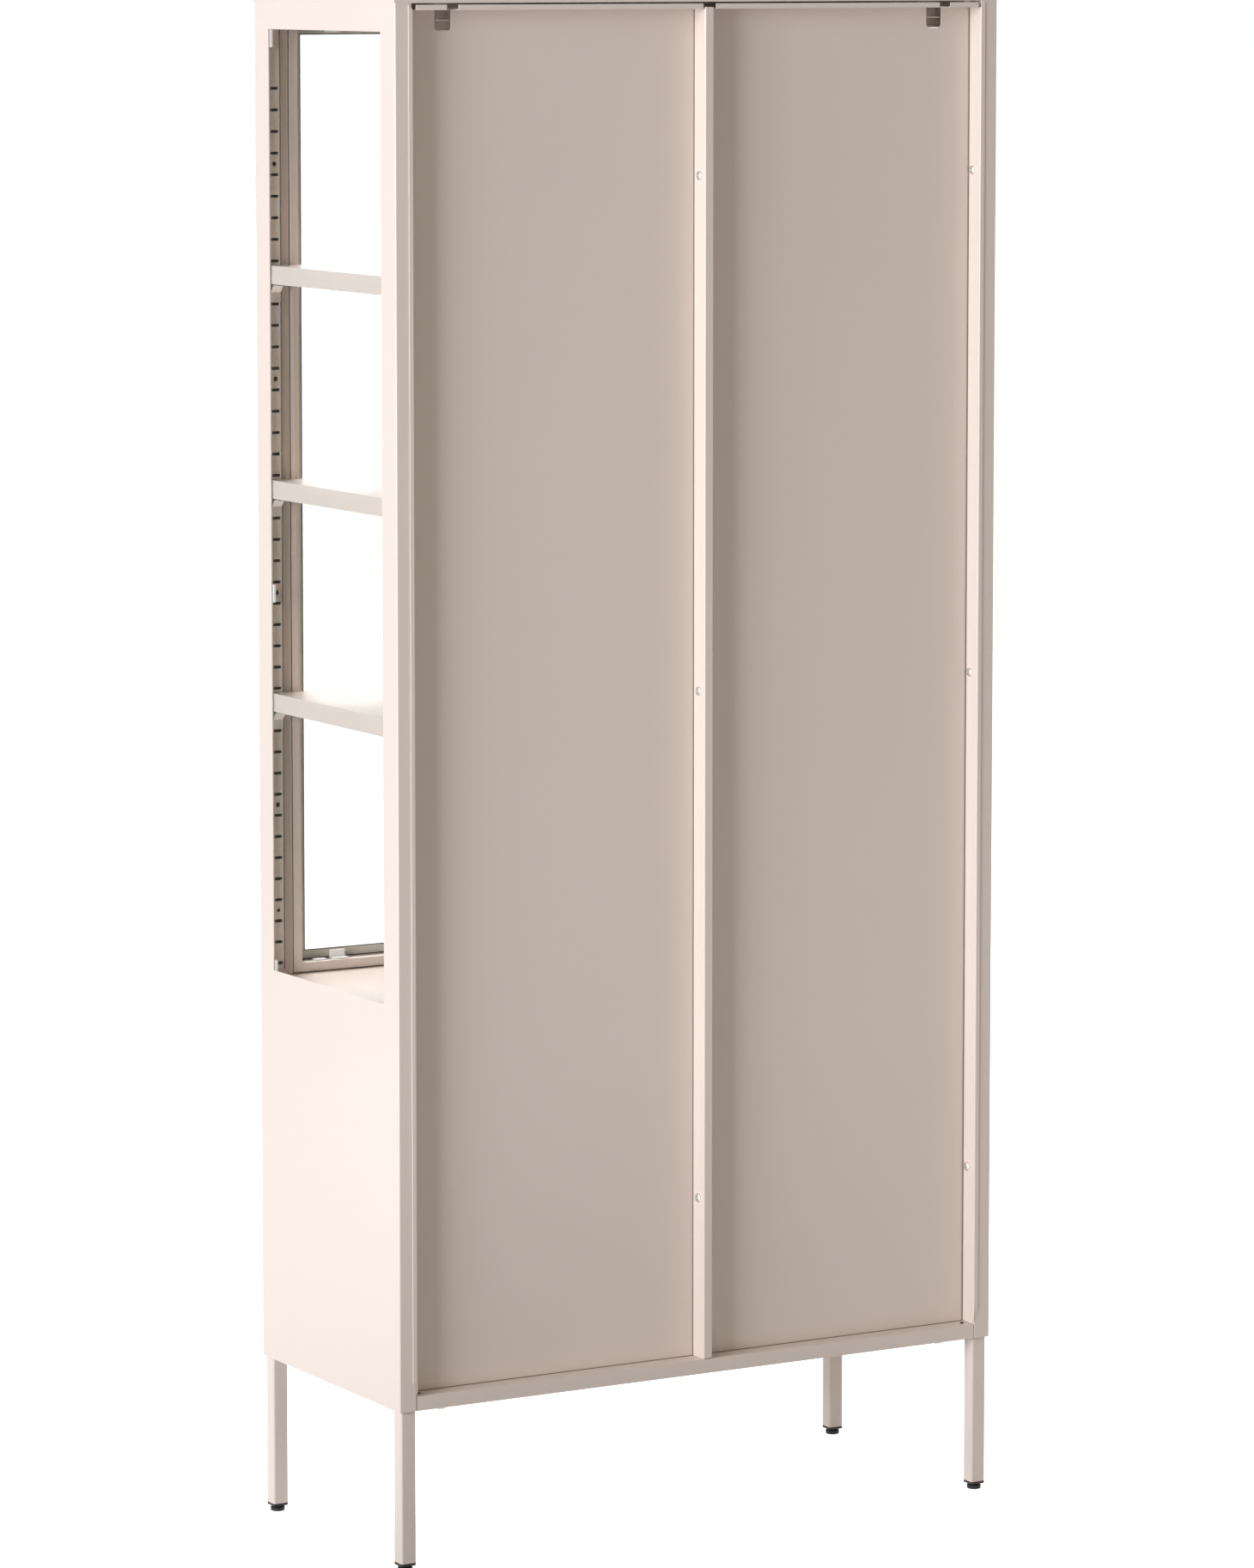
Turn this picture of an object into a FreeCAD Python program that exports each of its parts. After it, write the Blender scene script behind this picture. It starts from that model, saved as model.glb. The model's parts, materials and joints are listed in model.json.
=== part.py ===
# Display cabinet of folded, powder-coated sheet steel with glass doors and glass sides.
# Millimetres, +Z up, the doors face -Y. The origin is at the middle of the foot print, on the floor.
# Each piece is written to parts/NAME.step. Pieces are built on the right (+X) side and mirrored.
import FreeCAD
import Part
import math
import os

# Body
width = 800.0                # over the two side panels
depth = 348.0                # over the front and rear faces of the corner posts
body_height = 1598.0         # side panels
sheet = 1.0                  # steel sheet
bend = 1.6                   # outer radius of a fold
weld_gap = 0.5               # room between a notch and the post that it clears
overrun = 1.0                # how far a cutting tool runs past a face
fixing_sides = 6             # flats of the plain bars that stand for threaded fixings
hole_sides = 8               # flats of the small open holes
turned_sides = 12            # flats of small turned pieces
knob_sides = 24
nut_sides = 6
tolerance = 0.001

# Corner posts and slotted uprights
post_width = 22.0            # front and rear flanges of the side panel
return_depth = 20.0          # flange that turns in again along the side of the post
upright_depth = 27.0         # from the outer face of the post to the slotted face
upright_leg = 12.0           # short leg of the upright, welded to the side sheet
slot_centre = 13.5           # from the outer face of the side panel
slot_width = 10.0
slot_height = 2.5
slot_pitch = 25.0
slot_count = 42
slot_start = 472.5           # first slot of the glazed part, above the bottom of the body
low_slot_start = 172.5       # first slot of the lower compartment
low_slot_count = 5
hole_diameter = 5.5
small_hole_diameter = 4.0
hole_steps = (7, 17, 27, 37)     # slots below the round holes
small_hole_step = 2

# Side window and its glass
window_rail = 35.0           # sheet left in front of and behind the window
window_start = 466.0         # above the bottom of the body
window_height = 1100.0
glass = 4.0
side_glass_lap = 7.0
glass_clip_length = 21.0
glass_clip_reach = 9.0
glass_clip_thickness = 3.0
top_flange = 14.0

# Top panel
cap_height = 15.0
cap_overhang = 1.0
cap_return = 14.0
cap_front_return = 40.0

# Bottom panel and fixed floor
ledge_height = 17.0
bottom_return = 30.0
floor_height = 26.0
floor_return = 30.0
floor_rim = 12.0
drain_hole = 6.0             # round hole in the ledge behind the back pan
drain_hole_inset = 31.0
drain_hole_depth = 12.5

# Back
recess = 25.0                # the back pans lie this far in front of their lips
lip_width = 6.0
lip_gap = 2.0                # below the top panel
lip_end_gap = 3.5            # the top lip stops short of the flanks
lip_lift = 15.5              # the side lips stop above the ledge
flank_lift = 1.0
flank_chamfer = 4.0
strut_width = 12.0
strut_offset = 1.0           # its right edge, left of the middle of the cabinet
strut_drop = 4.0             # its top lies below the top of the lips
hook_inset = 73.0            # wall-fixing cut-outs, from the outer face of the side panel
notch_width = 15.0
cut_width = 20.5
cut_drop = 32.0              # lower end of the cut-out, below the top of the body
cut_radius = 5.0
first_screw = 207.0          # above the bottom of the body
last_screw_drop = 199.0      # below the top of the body
strut_screw_depth = 12.5
pan_screw_depth = 16.0
screw_head = 10.5
screw_head_height = 2.6
screw_shank = 4.0
screw_clearance = 0.4

# Shelves and their clips
shelf_steps = (32, 22, 12)       # slots that carry the shelves, from the top one down
low_shelf_step = 3
shelf_height = 21.5
shelf_side_gap = 6.0
shelf_end_gap = 3.0          # to the slotted faces
shelf_return = 12.0
slot_above_shelf = 1.5       # the slot lies above the lower edge of the shelf
clip_width = 13.0
clip_sheet = 1.5
clip_drop = 21.3
clip_arm_drop = 10.0
clip_arm_reach = 8.0
clip_arm_slope = 45.0        # degrees
clip_tab = 9.0
clip_hook = 4.0
clip_play = 0.15             # the clip's tongue in its slot

# Doors
door_thickness = 20.0
door_side_gap = 2.0
door_gap = 3.0               # over, under and between the doors
door_middle_gap = 2.0
door_joint = 443.5           # middle of the gap between lower and upper doors, above the body's bottom
frame_width = 35.0
frame_box = 24.0             # closed part of the frame, the rest is the rebate of the glass
frame_seam = 1.2
door_corner = 1.5
door_return = 30.0           # inner flange of a lower door
door_back_gap = 1.0          # from a closed door to the floor behind it
pane_gap = 1.0
door_clip_length = 20.0
door_clip_tab = 10.0
door_clip_foot = 12.0
door_clip_thickness = 2.0
door_clip_inset = 77.0

# Hinges
pivot_inset = 5.0            # from the edge and from the front of a door
pin_diameter = 4.0
pin_play = 0.1               # round a pin in its bore
pin_fit = 0.05               # round a pin that is fixed in a sheet
pin_engagement = 8.0
pin_head = 8.0
pin_head_height = 1.5
bush_diameter = 8.0
bush_height = 6.0
collar_gap = 0.4
pivot_plate = 1.5
pivot_plate_width = 10.0
pivot_plate_edge = 4.0
pivot_plate_tail = 12.0
pivot_plate_tab = 8.0
plate_play = 0.2

# Knobs
knob_length = 22.0
knob_diameter = 22.0
knob_neck_diameter = 12.0
knob_head_height = 10.0
knob_inset = 17.5
upper_knob_height = 500.0    # above the lower edge of its door
lower_knob_drop = 60.0       # below the upper edge of its door
knob_screw_diameter = 4.0
knob_screw_depth = 9.0
knob_screw_head = 8.0
knob_screw_head_height = 2.5

# Magnetic catches
catch_length = 46.0
catch_depth = 14.0
catch_height = 16.0
catch_inset = 12.0           # from the middle of the cabinet
catch_gap = 0.3
pole_length = 30.0
pole_thickness = 2.0
pole_proud = 0.5
pole_level_share = 1 / 3     # of the height of the housing, from its lower and upper face
keeper_length = 38.0
keeper_height = 12.0
keeper_thickness = 1.2

# Legs and feet
leg_length = 177.0
leg_size = 19.0
leg_wall = 1.2
leg_corner = 2.5
leg_inset = 3.0
plate_thickness = 2.0
plate_inset = 10.0
plate_reach = 76.0
plate_edge = 15.0            # blunt ends of the leg plate
bolt_inset = 17.0
bolt_reach = 62.0
bolt_head = 12.0
bolt_head_height = 4.0
bolt_diameter = 6.0
bolt_play = 0.4
nut_size = 10.0
nut_height = 5.0
cap_flange = 3.0
cap_plug = 16.0
plug_play = 0.1
foot_height = 10.0           # leg cap flange and foot together
foot_diameter = 17.0
foot_edge = 1.0
stud_diameter = 8.0
stud_length = 30.0
stud_play = 0.1

# Places that follow from the sizes above
side_x = width / 2
front_y = -(depth + cap_overhang + knob_length) / 2 + knob_length
rear_y = front_y + depth
lip_y = rear_y + cap_overhang
middle_y = (front_y + rear_y) / 2
body_z = foot_height + leg_length
top_z = body_z + body_height
ledge_z = body_z + ledge_height
front_slots_y = front_y + upright_depth
rear_slots_y = rear_y - upright_depth
upright_width = post_width - 2 * sheet
joint_z = body_z + door_joint
floor_z = joint_z + floor_height / 2
floor_front_y = front_y + door_thickness + door_back_gap
pan_y = lip_y - recess
lip_top_z = top_z - lip_gap
flank_w = post_width + sheet
strut_x = -strut_offset
door_inner_y = front_y + door_thickness
door_outer_x = side_x - post_width - door_side_gap
door_inner_x = door_middle_gap / 2
pivot_x = door_outer_x - pivot_inset
pivot_y = front_y + pivot_inset
lower_door_z = (ledge_z + door_gap, joint_z - door_gap / 2)
upper_door_z = (joint_z + door_gap / 2, top_z - door_gap)
inner_side_x = side_x - sheet
glass_side_x = inner_side_x - glass

last_screw = body_height - last_screw_drop
screw_places = (first_screw, (first_screw + last_screw) / 2, last_screw)

UP = FreeCAD.Vector(0, 0, 1)
ORIGIN = FreeCAD.Vector(0, 0, 0)
ACROSS = FreeCAD.Vector(1, 0, 0)
BACK = FreeCAD.Vector(0, 1, 0)


def block(x, y, z):
    """Box between two limits along each axis."""
    return Part.makeBox(x[1] - x[0], y[1] - y[0], z[1] - z[0], FreeCAD.Vector(x[0], y[0], z[0]))


def rod(diameter, low, high):
    """Round bar along Z between two points above each other."""
    return Part.makeCylinder(diameter / 2, high.z - low.z, low)


def flat_rod(diameter, start, length, direction=UP, sides=fixing_sides):
    """Straight bar with flat sides inside a circle, for fixings and their holes."""
    corners = [at(diameter / 2, 0, 0)]
    turn = FreeCAD.Rotation(UP, 360 / sides)
    while len(corners) <= sides:
        corners.append(turn.multVec(corners[-1]))
    bar = Part.Face(Part.makePolygon(corners[:-1] + corners[:1])).extrude(UP * length)
    bar.Placement = FreeCAD.Placement(start, FreeCAD.Rotation(UP, direction))
    return bar


def flat_bore(diameter, start, length, direction=UP, sides=fixing_sides):
    """Tool for a hole whose flats clear a bar of this diameter."""
    return flat_rod(diameter / math.cos(math.pi / sides), start, length, direction, sides)


def at(x, y, z):
    return FreeCAD.Vector(x, y, z)


def mirrored(shape):
    """The left hand copy of a right hand piece."""
    return shape.mirror(ORIGIN, ACROSS)


def front_to_rear(shape):
    """The rear copy of a piece in a front corner."""
    return shape.mirror(at(0, middle_y, 0), BACK)


def group(shapes):
    return Part.makeCompound(shapes)


def all_solids(shapes):
    return [solid for shape in shapes for solid in shape.Solids]


def save(name, *shapes):
    """Writes one piece, or a group of like pieces, to its own file."""
    solids = all_solids(shapes)
    result = solids[0] if len(solids) == 1 else Part.makeCompound(solids)
    result.exportStep("parts/%s.step" % name)


def save_pair(name, shape):
    """Writes a right hand piece and its left hand mirror image."""
    save(name + "_right", shape)
    save(name + "_left", mirrored(shape))


def offset_path(points, distance):
    """Moves an open path to its left by a distance."""
    directions = [(b - a).normalize() for a, b in zip(points, points[1:])]
    normals = [UP.cross(direction) for direction in directions]
    moved = [points[0] + normals[0] * distance]
    for point, before, after in zip(points[1:], normals, normals[1:]):
        moved.append(point + (before + after) * (distance / (1 + before.dot(after))))
    moved.append(points[-1] + normals[-1] * distance)
    return moved


def rounded_path(points, radii):
    """Edges along an open path, with an arc at each inner point that has a radius."""
    edges = []
    start = points[0]
    for before, point, after, radius in zip(points, points[1:], points[2:], radii):
        if radius == 0:
            edges.append(Part.LineSegment(start, point).toShape())
            start = point
            continue
        incoming = (point - before).normalize()
        outgoing = (after - point).normalize()
        half_turn = incoming.getAngle(outgoing) / 2
        inward = (outgoing - incoming).normalize()
        reach = radius * math.tan(half_turn)
        centre = point + inward * (radius / math.cos(half_turn))
        arc_start = point - incoming * reach
        arc_end = point + outgoing * reach
        edges.append(Part.LineSegment(start, arc_start).toShape())
        edges.append(Part.Arc(arc_start, centre - inward * radius, arc_end).toShape())
        start = arc_end
    edges.append(Part.LineSegment(start, points[-1]).toShape())
    return edges


def folded_section(points, thickness, radius):
    """Cross section of a folded sheet. The sheet lies to the left of the path, seen from above.

    A fold is rounded on its outer side only.
    """
    near = [point.add(ORIGIN) for point in points]
    far = offset_path(near, thickness)
    near_radii = []
    far_radii = []
    for before, point, after in zip(near, near[1:], near[2:]):
        turns_left = UP.dot((point - before).cross(after - point)) > 0
        near_radii.append(radius if turns_left else 0)
        far_radii.append(0 if turns_left else radius)
    edges = rounded_path(near, near_radii)
    edges.append(Part.LineSegment(near[-1], far[-1]).toShape())
    edges += rounded_path(far[::-1], far_radii[::-1])
    edges.append(Part.LineSegment(far[0], near[0]).toShape())
    return Part.Face(Part.Wire(edges))


def folded_sheet(corners, z, thickness=sheet, radius=bend):
    """Upright folded sheet. Its corners are given as (distance from the side face, y)."""
    points = [at(side_x - inset, y, z[0]) for inset, y in corners]
    return folded_section(points, thickness, radius).extrude(UP * (z[1] - z[0]))


def frame(x, y, z, rim):
    """Flat upright ring around an opening, rim wide."""
    outer = block(x, y, z)
    inner = block((x[0] + rim, x[1] - rim), (y[0] - overrun, y[1] + overrun), (z[0] + rim, z[1] - rim))
    return outer.cut(inner)


def inset(limits, distance):
    return (limits[0] + distance, limits[1] - distance)


def tray(outline, z, wall=sheet):
    """Sheet with its edges folded down: an outline of (x, y) points under a flat top."""
    points = [at(x, y, z[0]) for x, y in outline]
    solid = Part.Face(Part.makePolygon(points + points[:1])).extrude(UP * (z[1] - z[0]))
    if solid.Volume < 0:
        solid.reverse()
    open_side = [face for face in solid.Faces if face.CenterOfMass.z < z[0] + wall / 2]
    return solid.makeThickness(open_side, -wall, tolerance)


def notched_outline(half_width, y, front_notch, rear_notch):
    """Plan of a floor: a rectangle with a notch for the post in each corner."""
    front, rear = y
    right = [(half_width - front_notch[0], front), (half_width - front_notch[0], front + front_notch[1]),
             (half_width, front + front_notch[1]), (half_width, rear - rear_notch[1]),
             (half_width - rear_notch[0], rear - rear_notch[1]), (half_width - rear_notch[0], rear)]
    return right + [(-x, y) for x, y in right[::-1]]


def slot_z(step):
    return body_z + slot_start + step * slot_pitch


# Side panels: outer sheet, window, and the flanges that form the corner posts
def side_panel():
    corners = [(post_width, front_y + return_depth), (post_width, front_y), (0, front_y),
               (0, rear_y), (post_width, rear_y), (post_width, rear_y - return_depth)]
    panel = folded_sheet(corners, (body_z, top_z))
    window = block((inner_side_x - overrun, side_x + overrun),
                   (front_y + window_rail, rear_y - window_rail),
                   (body_z + window_start, body_z + window_start + window_height))
    flange = block((inner_side_x - top_flange, inner_side_x), (front_slots_y, rear_slots_y),
                   (top_z - sheet, top_z))
    return panel.cut(window).fuse(flange).cut(group(flank_screws(screw_shank + screw_clearance)))


# Slotted uprights: folded channels that close the corner posts
def upright():
    outer = sheet
    inner = outer + upright_width
    corners = [(outer, front_slots_y - upright_leg), (outer, front_slots_y), (inner, front_slots_y),
               (inner, front_y + bend)]
    piece = folded_sheet(corners, (body_z, top_z - sheet), radius=0)
    steps = [slot_z(step) for step in range(slot_count)]
    steps += [body_z + low_slot_start + step * slot_pitch for step in range(low_slot_count)]
    through = (front_slots_y - sheet - overrun, front_slots_y + overrun)
    across = (side_x - slot_centre - slot_width / 2, side_x - slot_centre + slot_width / 2)
    tools = [block(across, through, (z - slot_height / 2, z + slot_height / 2)) for z in steps]
    holes = [(step, hole_diameter) for step in hole_steps] + [(small_hole_step, small_hole_diameter)]
    for step, diameter in holes:
        centre = at(side_x - slot_centre, through[0], slot_z(step) + slot_pitch / 2)
        tools.append(flat_bore(diameter, centre, through[1] - through[0], BACK, hole_sides))
    return piece.cut(group(tools))


# Top panel: a tray turned over the side panels, its lower edges folded in
def top_panel():
    half = side_x + cap_overhang
    y = (front_y - cap_overhang, lip_y)
    z = (top_z, top_z + cap_height)
    outer = block((-half, half), y, z)
    lower = z[0] + sheet
    round_edges = [edge for edge in outer.Edges if edge.CenterOfMass.z > z[1] - sheet]
    inside = (inset((-half, half), sheet), inset(y, sheet))
    hollow = block(inside[0], inside[1], (z[0] - overrun, z[1] - sheet))
    shell = outer.makeFillet(bend, round_edges).cut(hollow)
    rim = block(inside[0], inside[1], (z[0], lower))
    room = block(inset(inside[0], cap_return), (y[0] + cap_front_return, y[1] - cap_return),
                 (z[0] - overrun, lower + overrun))
    panel = shell.fuse(rim.cut(room))
    start = at(pivot_x, pivot_y, z[0] - overrun)
    bore = flat_bore(pin_diameter + 2 * pin_fit, start, sheet + 2 * overrun, sides=turned_sides)
    return panel.cut(group([bore, mirrored(bore)])).removeSplitter()


# Bottom panel: the ledge behind the back pans is a part of its top
def bottom_panel():
    notch = (post_width + weld_gap - sheet, upright_depth + weld_gap)
    outline = notched_outline(inner_side_x, (front_y, rear_y), notch, notch)
    z = (body_z, ledge_z)
    panel = tray(outline, z)
    inner = notched_outline(inner_side_x - sheet, inset((front_y, rear_y), sheet), notch, notch)
    rim = Part.Face(Part.makePolygon([at(x, y, z[0]) for x, y in inner + inner[:1]])).extrude(UP * sheet)
    hollow = block(inset((-inner_side_x, inner_side_x), bottom_return),
                   inset((front_y, rear_y), bottom_return), (z[0] - overrun, z[0] + sheet + overrun))
    panel = panel.fuse(rim.cut(hollow))
    through = sheet + 2 * overrun
    tools = [flat_bore(bolt_diameter + bolt_play, at(x, y, z[0] - overrun), through)
             for x, y in bolt_points()]
    start_z = z[1] - sheet - overrun
    pin = flat_bore(pin_diameter + 2 * pin_fit, at(pivot_x, pivot_y, start_z), through, sides=turned_sides)
    drain_centre = at(side_x - drain_hole_inset, rear_y - drain_hole_depth, start_z)
    drain = flat_bore(drain_hole, drain_centre, through, sides=turned_sides)
    tools += [pin, mirrored(pin), drain, mirrored(drain)]
    return panel.cut(group(tools)).removeSplitter()


# Fixed floor between the two compartments
def mid_floor():
    front_notch = (post_width + weld_gap - sheet, front_slots_y + weld_gap - floor_front_y)
    floor_rear_y = pan_y - sheet
    rear_notch = (post_width + weld_gap - sheet, floor_rear_y - rear_slots_y + weld_gap)
    z = (floor_z - floor_height, floor_z)
    panel = tray(notched_outline(inner_side_x, (floor_front_y, floor_rear_y), front_notch, rear_notch), z)
    half = inner_side_x - front_notch[0] - sheet
    ledge = block((-half, half), (floor_front_y + sheet, floor_front_y + floor_return), (z[0], z[0] + sheet))
    back_rim = block((-half, half), (floor_rear_y - floor_rim, floor_rear_y - sheet), (z[0], z[0] + sheet))
    x = (pivot_x - pivot_plate_width / 2 - plate_play, pivot_x + pivot_plate_width / 2 + plate_play)
    slot = block(x, (floor_front_y - overrun, floor_front_y + sheet + overrun),
                 (joint_z - pivot_plate / 2 - plate_play, joint_z + pivot_plate / 2 + plate_play))
    return panel.fuse([ledge, back_rim]).cut(group([slot, mirrored(slot)])).removeSplitter()


# Back pans: recessed sheets with raised lips, a notch and a cut-out for a wall fixing
def back_pan(inner):
    """Right hand pan. Its inner wall stands this far from the side face, inside the strut."""
    outer = flank_w
    corners = [(outer - lip_width, lip_y), (outer, lip_y), (outer, pan_y), (inner, pan_y),
               (inner, lip_y - bend)]
    base_top_z = lip_top_z - lip_width + sheet
    pan = folded_sheet(corners, (ledge_z, lip_top_z))
    above = block((side_x - inner - sheet - overrun, side_x - outer + sheet),
                  (pan_y - sheet - overrun, lip_y + overrun), (base_top_z, lip_top_z + overrun))
    pan = pan.cut(above)
    lip_x = (side_x - inner + lip_end_gap, side_x - outer - lip_end_gap)
    top_wall = block(lip_x, (pan_y - sheet, lip_y), (base_top_z - sheet, base_top_z))
    top_lip = block(lip_x, (lip_y - sheet, lip_y), (base_top_z - sheet, lip_top_z))
    pan = pan.fuse([top_wall, top_lip])
    x0 = side_x - outer
    mitre = [(x0 + lip_width, lip_top_z), (x0 - overrun, base_top_z - sheet - overrun),
             (x0 - overrun, lip_top_z + overrun), (x0 + lip_width, lip_top_z + overrun)]
    points = [at(x, pan_y, z) for x, z in mitre + mitre[:1]]
    mitre_tool = Part.Face(Part.makePolygon(points)).extrude(BACK * (recess + overrun))
    foot = block((x0 + sheet, x0 + lip_width + overrun), (rear_y, lip_y + overrun),
                 (ledge_z - overrun, ledge_z + lip_lift))
    lifted = block((x0 - overrun, x0 + sheet + overrun), (pan_y + bend, lip_y + overrun),
                   (ledge_z - overrun, ledge_z + flank_lift))
    chamfer_z = ledge_z + flank_lift
    corner = [(lip_y - flank_chamfer, chamfer_z), (lip_y + overrun, chamfer_z - overrun),
              (lip_y + overrun, chamfer_z + flank_chamfer + overrun)]
    points = [at(x0 - overrun, y, z) for y, z in corner + corner[:1]]
    chamfer = Part.Face(Part.makePolygon(points)).extrude(ACROSS * (sheet + 2 * overrun))
    notch_x = (side_x - hook_inset - notch_width / 2, side_x - hook_inset + notch_width / 2)
    notch = block(notch_x, (pan_y - sheet - overrun, lip_y + overrun),
                  (base_top_z - sheet - overrun, lip_top_z + overrun))
    cut_x = (side_x - hook_inset - cut_width / 2, side_x - hook_inset + cut_width / 2)
    cut = block(cut_x, (pan_y - sheet - overrun, pan_y + overrun), (top_z - cut_drop, base_top_z - sheet))
    lower = [edge for edge in cut.Edges if edge.BoundBox.YLength > sheet
             and edge.CenterOfMass.z < top_z - cut_drop + cut_radius]
    cut = cut.makeFillet(cut_radius, lower)
    tools = [mitre_tool, foot, lifted, chamfer, notch, cut]
    tools += flank_screws(screw_shank + screw_clearance)
    start_x = side_x - inner - sheet - overrun
    tools += strut_bores(start_x, sheet + 2 * overrun)
    return pan.cut(group(tools)).removeSplitter()


def back_strut():
    right = side_x - strut_x
    left = right + strut_width
    seat_y = pan_y + bend - sheet
    corners = [(right, seat_y), (right, lip_y), (left, lip_y), (left, seat_y)]
    strut = folded_sheet(corners, (ledge_z + flank_lift, lip_top_z - strut_drop))
    return strut.cut(group(strut_bores(strut_x - strut_width - overrun, strut_width + 2 * overrun)))


def strut_bores(start_x, length):
    """Bores of the screws that hold the inner walls of the back pans to the strut."""
    return [flat_bore(screw_shank + screw_clearance, at(start_x, lip_y - strut_screw_depth, body_z + z),
                      length, ACROSS) for z in screw_places]


def flank_screws(diameter):
    """Bores of the screws that hold the outer flank of a back pan to the post."""
    start_x = side_x - flank_w - overrun
    length = 2 * sheet + 2 * overrun
    return [flat_bore(diameter, at(start_x, lip_y - pan_screw_depth, body_z + z), length, ACROSS)
            for z in screw_places]


def pan_head_screw(point, direction, length):
    """Screw with its head on a face: the shank runs along the direction."""
    head = flat_rod(screw_head, point - direction * screw_head_height, screw_head_height, direction)
    return head.fuse(flat_rod(screw_shank, point, length, direction)).removeSplitter()


def back_screws():
    screws = []
    for z in screw_places:
        flank = at(side_x - flank_w, lip_y - pan_screw_depth, body_z + z)
        screw = pan_head_screw(flank, ACROSS, 2 * sheet)
        screws += [screw, mirrored(screw)]
        right = at(strut_x, lip_y - strut_screw_depth, body_z + z)
        left = at(strut_x - strut_width, lip_y - strut_screw_depth, body_z + z)
        screws += [pan_head_screw(right, -ACROSS, 2 * sheet), pan_head_screw(left, ACROSS, 2 * sheet)]
    return group(screws)


# Shelves: trays turned down, with a flange along the front and rear edges
def shelf(bottom_z):
    half = side_x - shelf_side_gap
    y = (front_slots_y + shelf_end_gap, rear_slots_y - shelf_end_gap)
    z = (bottom_z, bottom_z + shelf_height)
    plan = [(-half, y[0]), (half, y[0]), (half, y[1]), (-half, y[1])]
    ends = inset((-half, half), sheet)
    front = block(ends, (y[0] + sheet, y[0] + shelf_return), (z[0], z[0] + sheet))
    rear = block(ends, (y[1] - shelf_return, y[1] - sheet), (z[0], z[0] + sheet))
    return tray(plan, z).fuse([front, rear]).removeSplitter()


def extruded_clip(outline, bottom_z, length):
    """Piece of a clip: an outline of (distance from the slotted face, height) points, drawn out along X."""
    points = [at(side_x - slot_centre - length / 2, front_slots_y + reach, bottom_z + rise)
              for reach, rise in outline]
    return Part.Face(Part.makePolygon(points + points[:1])).extrude(ACROSS * length)


def shelf_clip(bottom_z):
    """Bent clip in the right front corner: hook in the slot, plate on the upright, arm under the shelf."""
    step = clip_sheet * math.tan(math.radians(clip_arm_slope) / 2)
    hook_z = slot_above_shelf + clip_sheet / 2
    plate = [(0, -clip_drop), (clip_sheet, -clip_drop), (clip_sheet, -clip_arm_drop),
             (clip_arm_reach + clip_sheet - step, -clip_sheet - step),
             (clip_arm_reach + clip_tab, -clip_sheet - step), (clip_arm_reach + clip_tab, -step),
             (clip_arm_reach, -step), (clip_sheet, step - clip_arm_reach), (clip_sheet, hook_z), (0, hook_z)]
    inner = -sheet - clip_play
    hook = [(0, hook_z - clip_sheet), (0, hook_z), (inner, hook_z), (inner, hook_z + clip_hook),
            (inner - clip_sheet, hook_z + clip_hook), (inner - clip_sheet, hook_z - clip_sheet)]
    hook_width = slot_width - 2 * clip_play
    return extruded_clip(plate, bottom_z, clip_width).fuse(extruded_clip(hook, bottom_z, hook_width))


def shelf_clips(bottom_z):
    front = shelf_clip(bottom_z)
    rear = front_to_rear(front)
    return group([front, rear, mirrored(front), mirrored(rear)])


# Glass panes of the sides, pressed against the side sheet by plastic clips
def side_glass():
    window = (body_z + window_start, body_z + window_start + window_height)
    return block((glass_side_x, inner_side_x),
                 inset((front_y + window_rail, rear_y - window_rail), -side_glass_lap),
                 inset(window, -side_glass_lap))


def side_glass_clips():
    places = [floor_z, slot_z(hole_steps[1]) + slot_pitch / 2 - glass_clip_length / 2,
              body_z + window_start + window_height - glass_clip_length]
    clips = []
    for z in places:
        plate = block((glass_side_x - glass_clip_thickness, glass_side_x),
                      (front_slots_y, front_slots_y + glass_clip_reach), (z, z + glass_clip_length))
        clips += [plate, front_to_rear(plate)]
    return group(clips)


# Doors: pans with rounded corners, closed box frames with a rebate for the glass, or plain returns
def door_pan(z):
    outer = block((door_inner_x, door_outer_x), (front_y, door_inner_y), z)
    rounded = [edge for edge in outer.Edges if edge.CenterOfMass.y < front_y + sheet]
    hollow = block(inset((door_inner_x, door_outer_x), sheet), (front_y + sheet, door_inner_y + overrun),
                   inset(z, sheet))
    return outer.makeFillet(door_corner, rounded).cut(hollow)


def door_bushes(z):
    """Bushes of the pivot pins, in the lower and upper walls of a door."""
    return [flat_rod(bush_diameter, at(pivot_x, pivot_y, start_z), bush_height, sides=hole_sides)
            for start_z in (z[0] + sheet, z[1] - sheet - bush_height)]


def door_bores(z):
    wall = sheet + bush_height
    length = wall + 2 * overrun
    return [flat_bore(pin_diameter + 2 * pin_play, at(pivot_x, pivot_y, start_z - overrun), length,
                      sides=turned_sides) for start_z in (z[0], z[1] - wall)]


def knob_bore(knob_z):
    return flat_bore(knob_screw_diameter + screw_clearance,
                     at(door_inner_x + knob_inset, front_y - overrun, knob_z), sheet + 2 * overrun, BACK)


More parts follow.
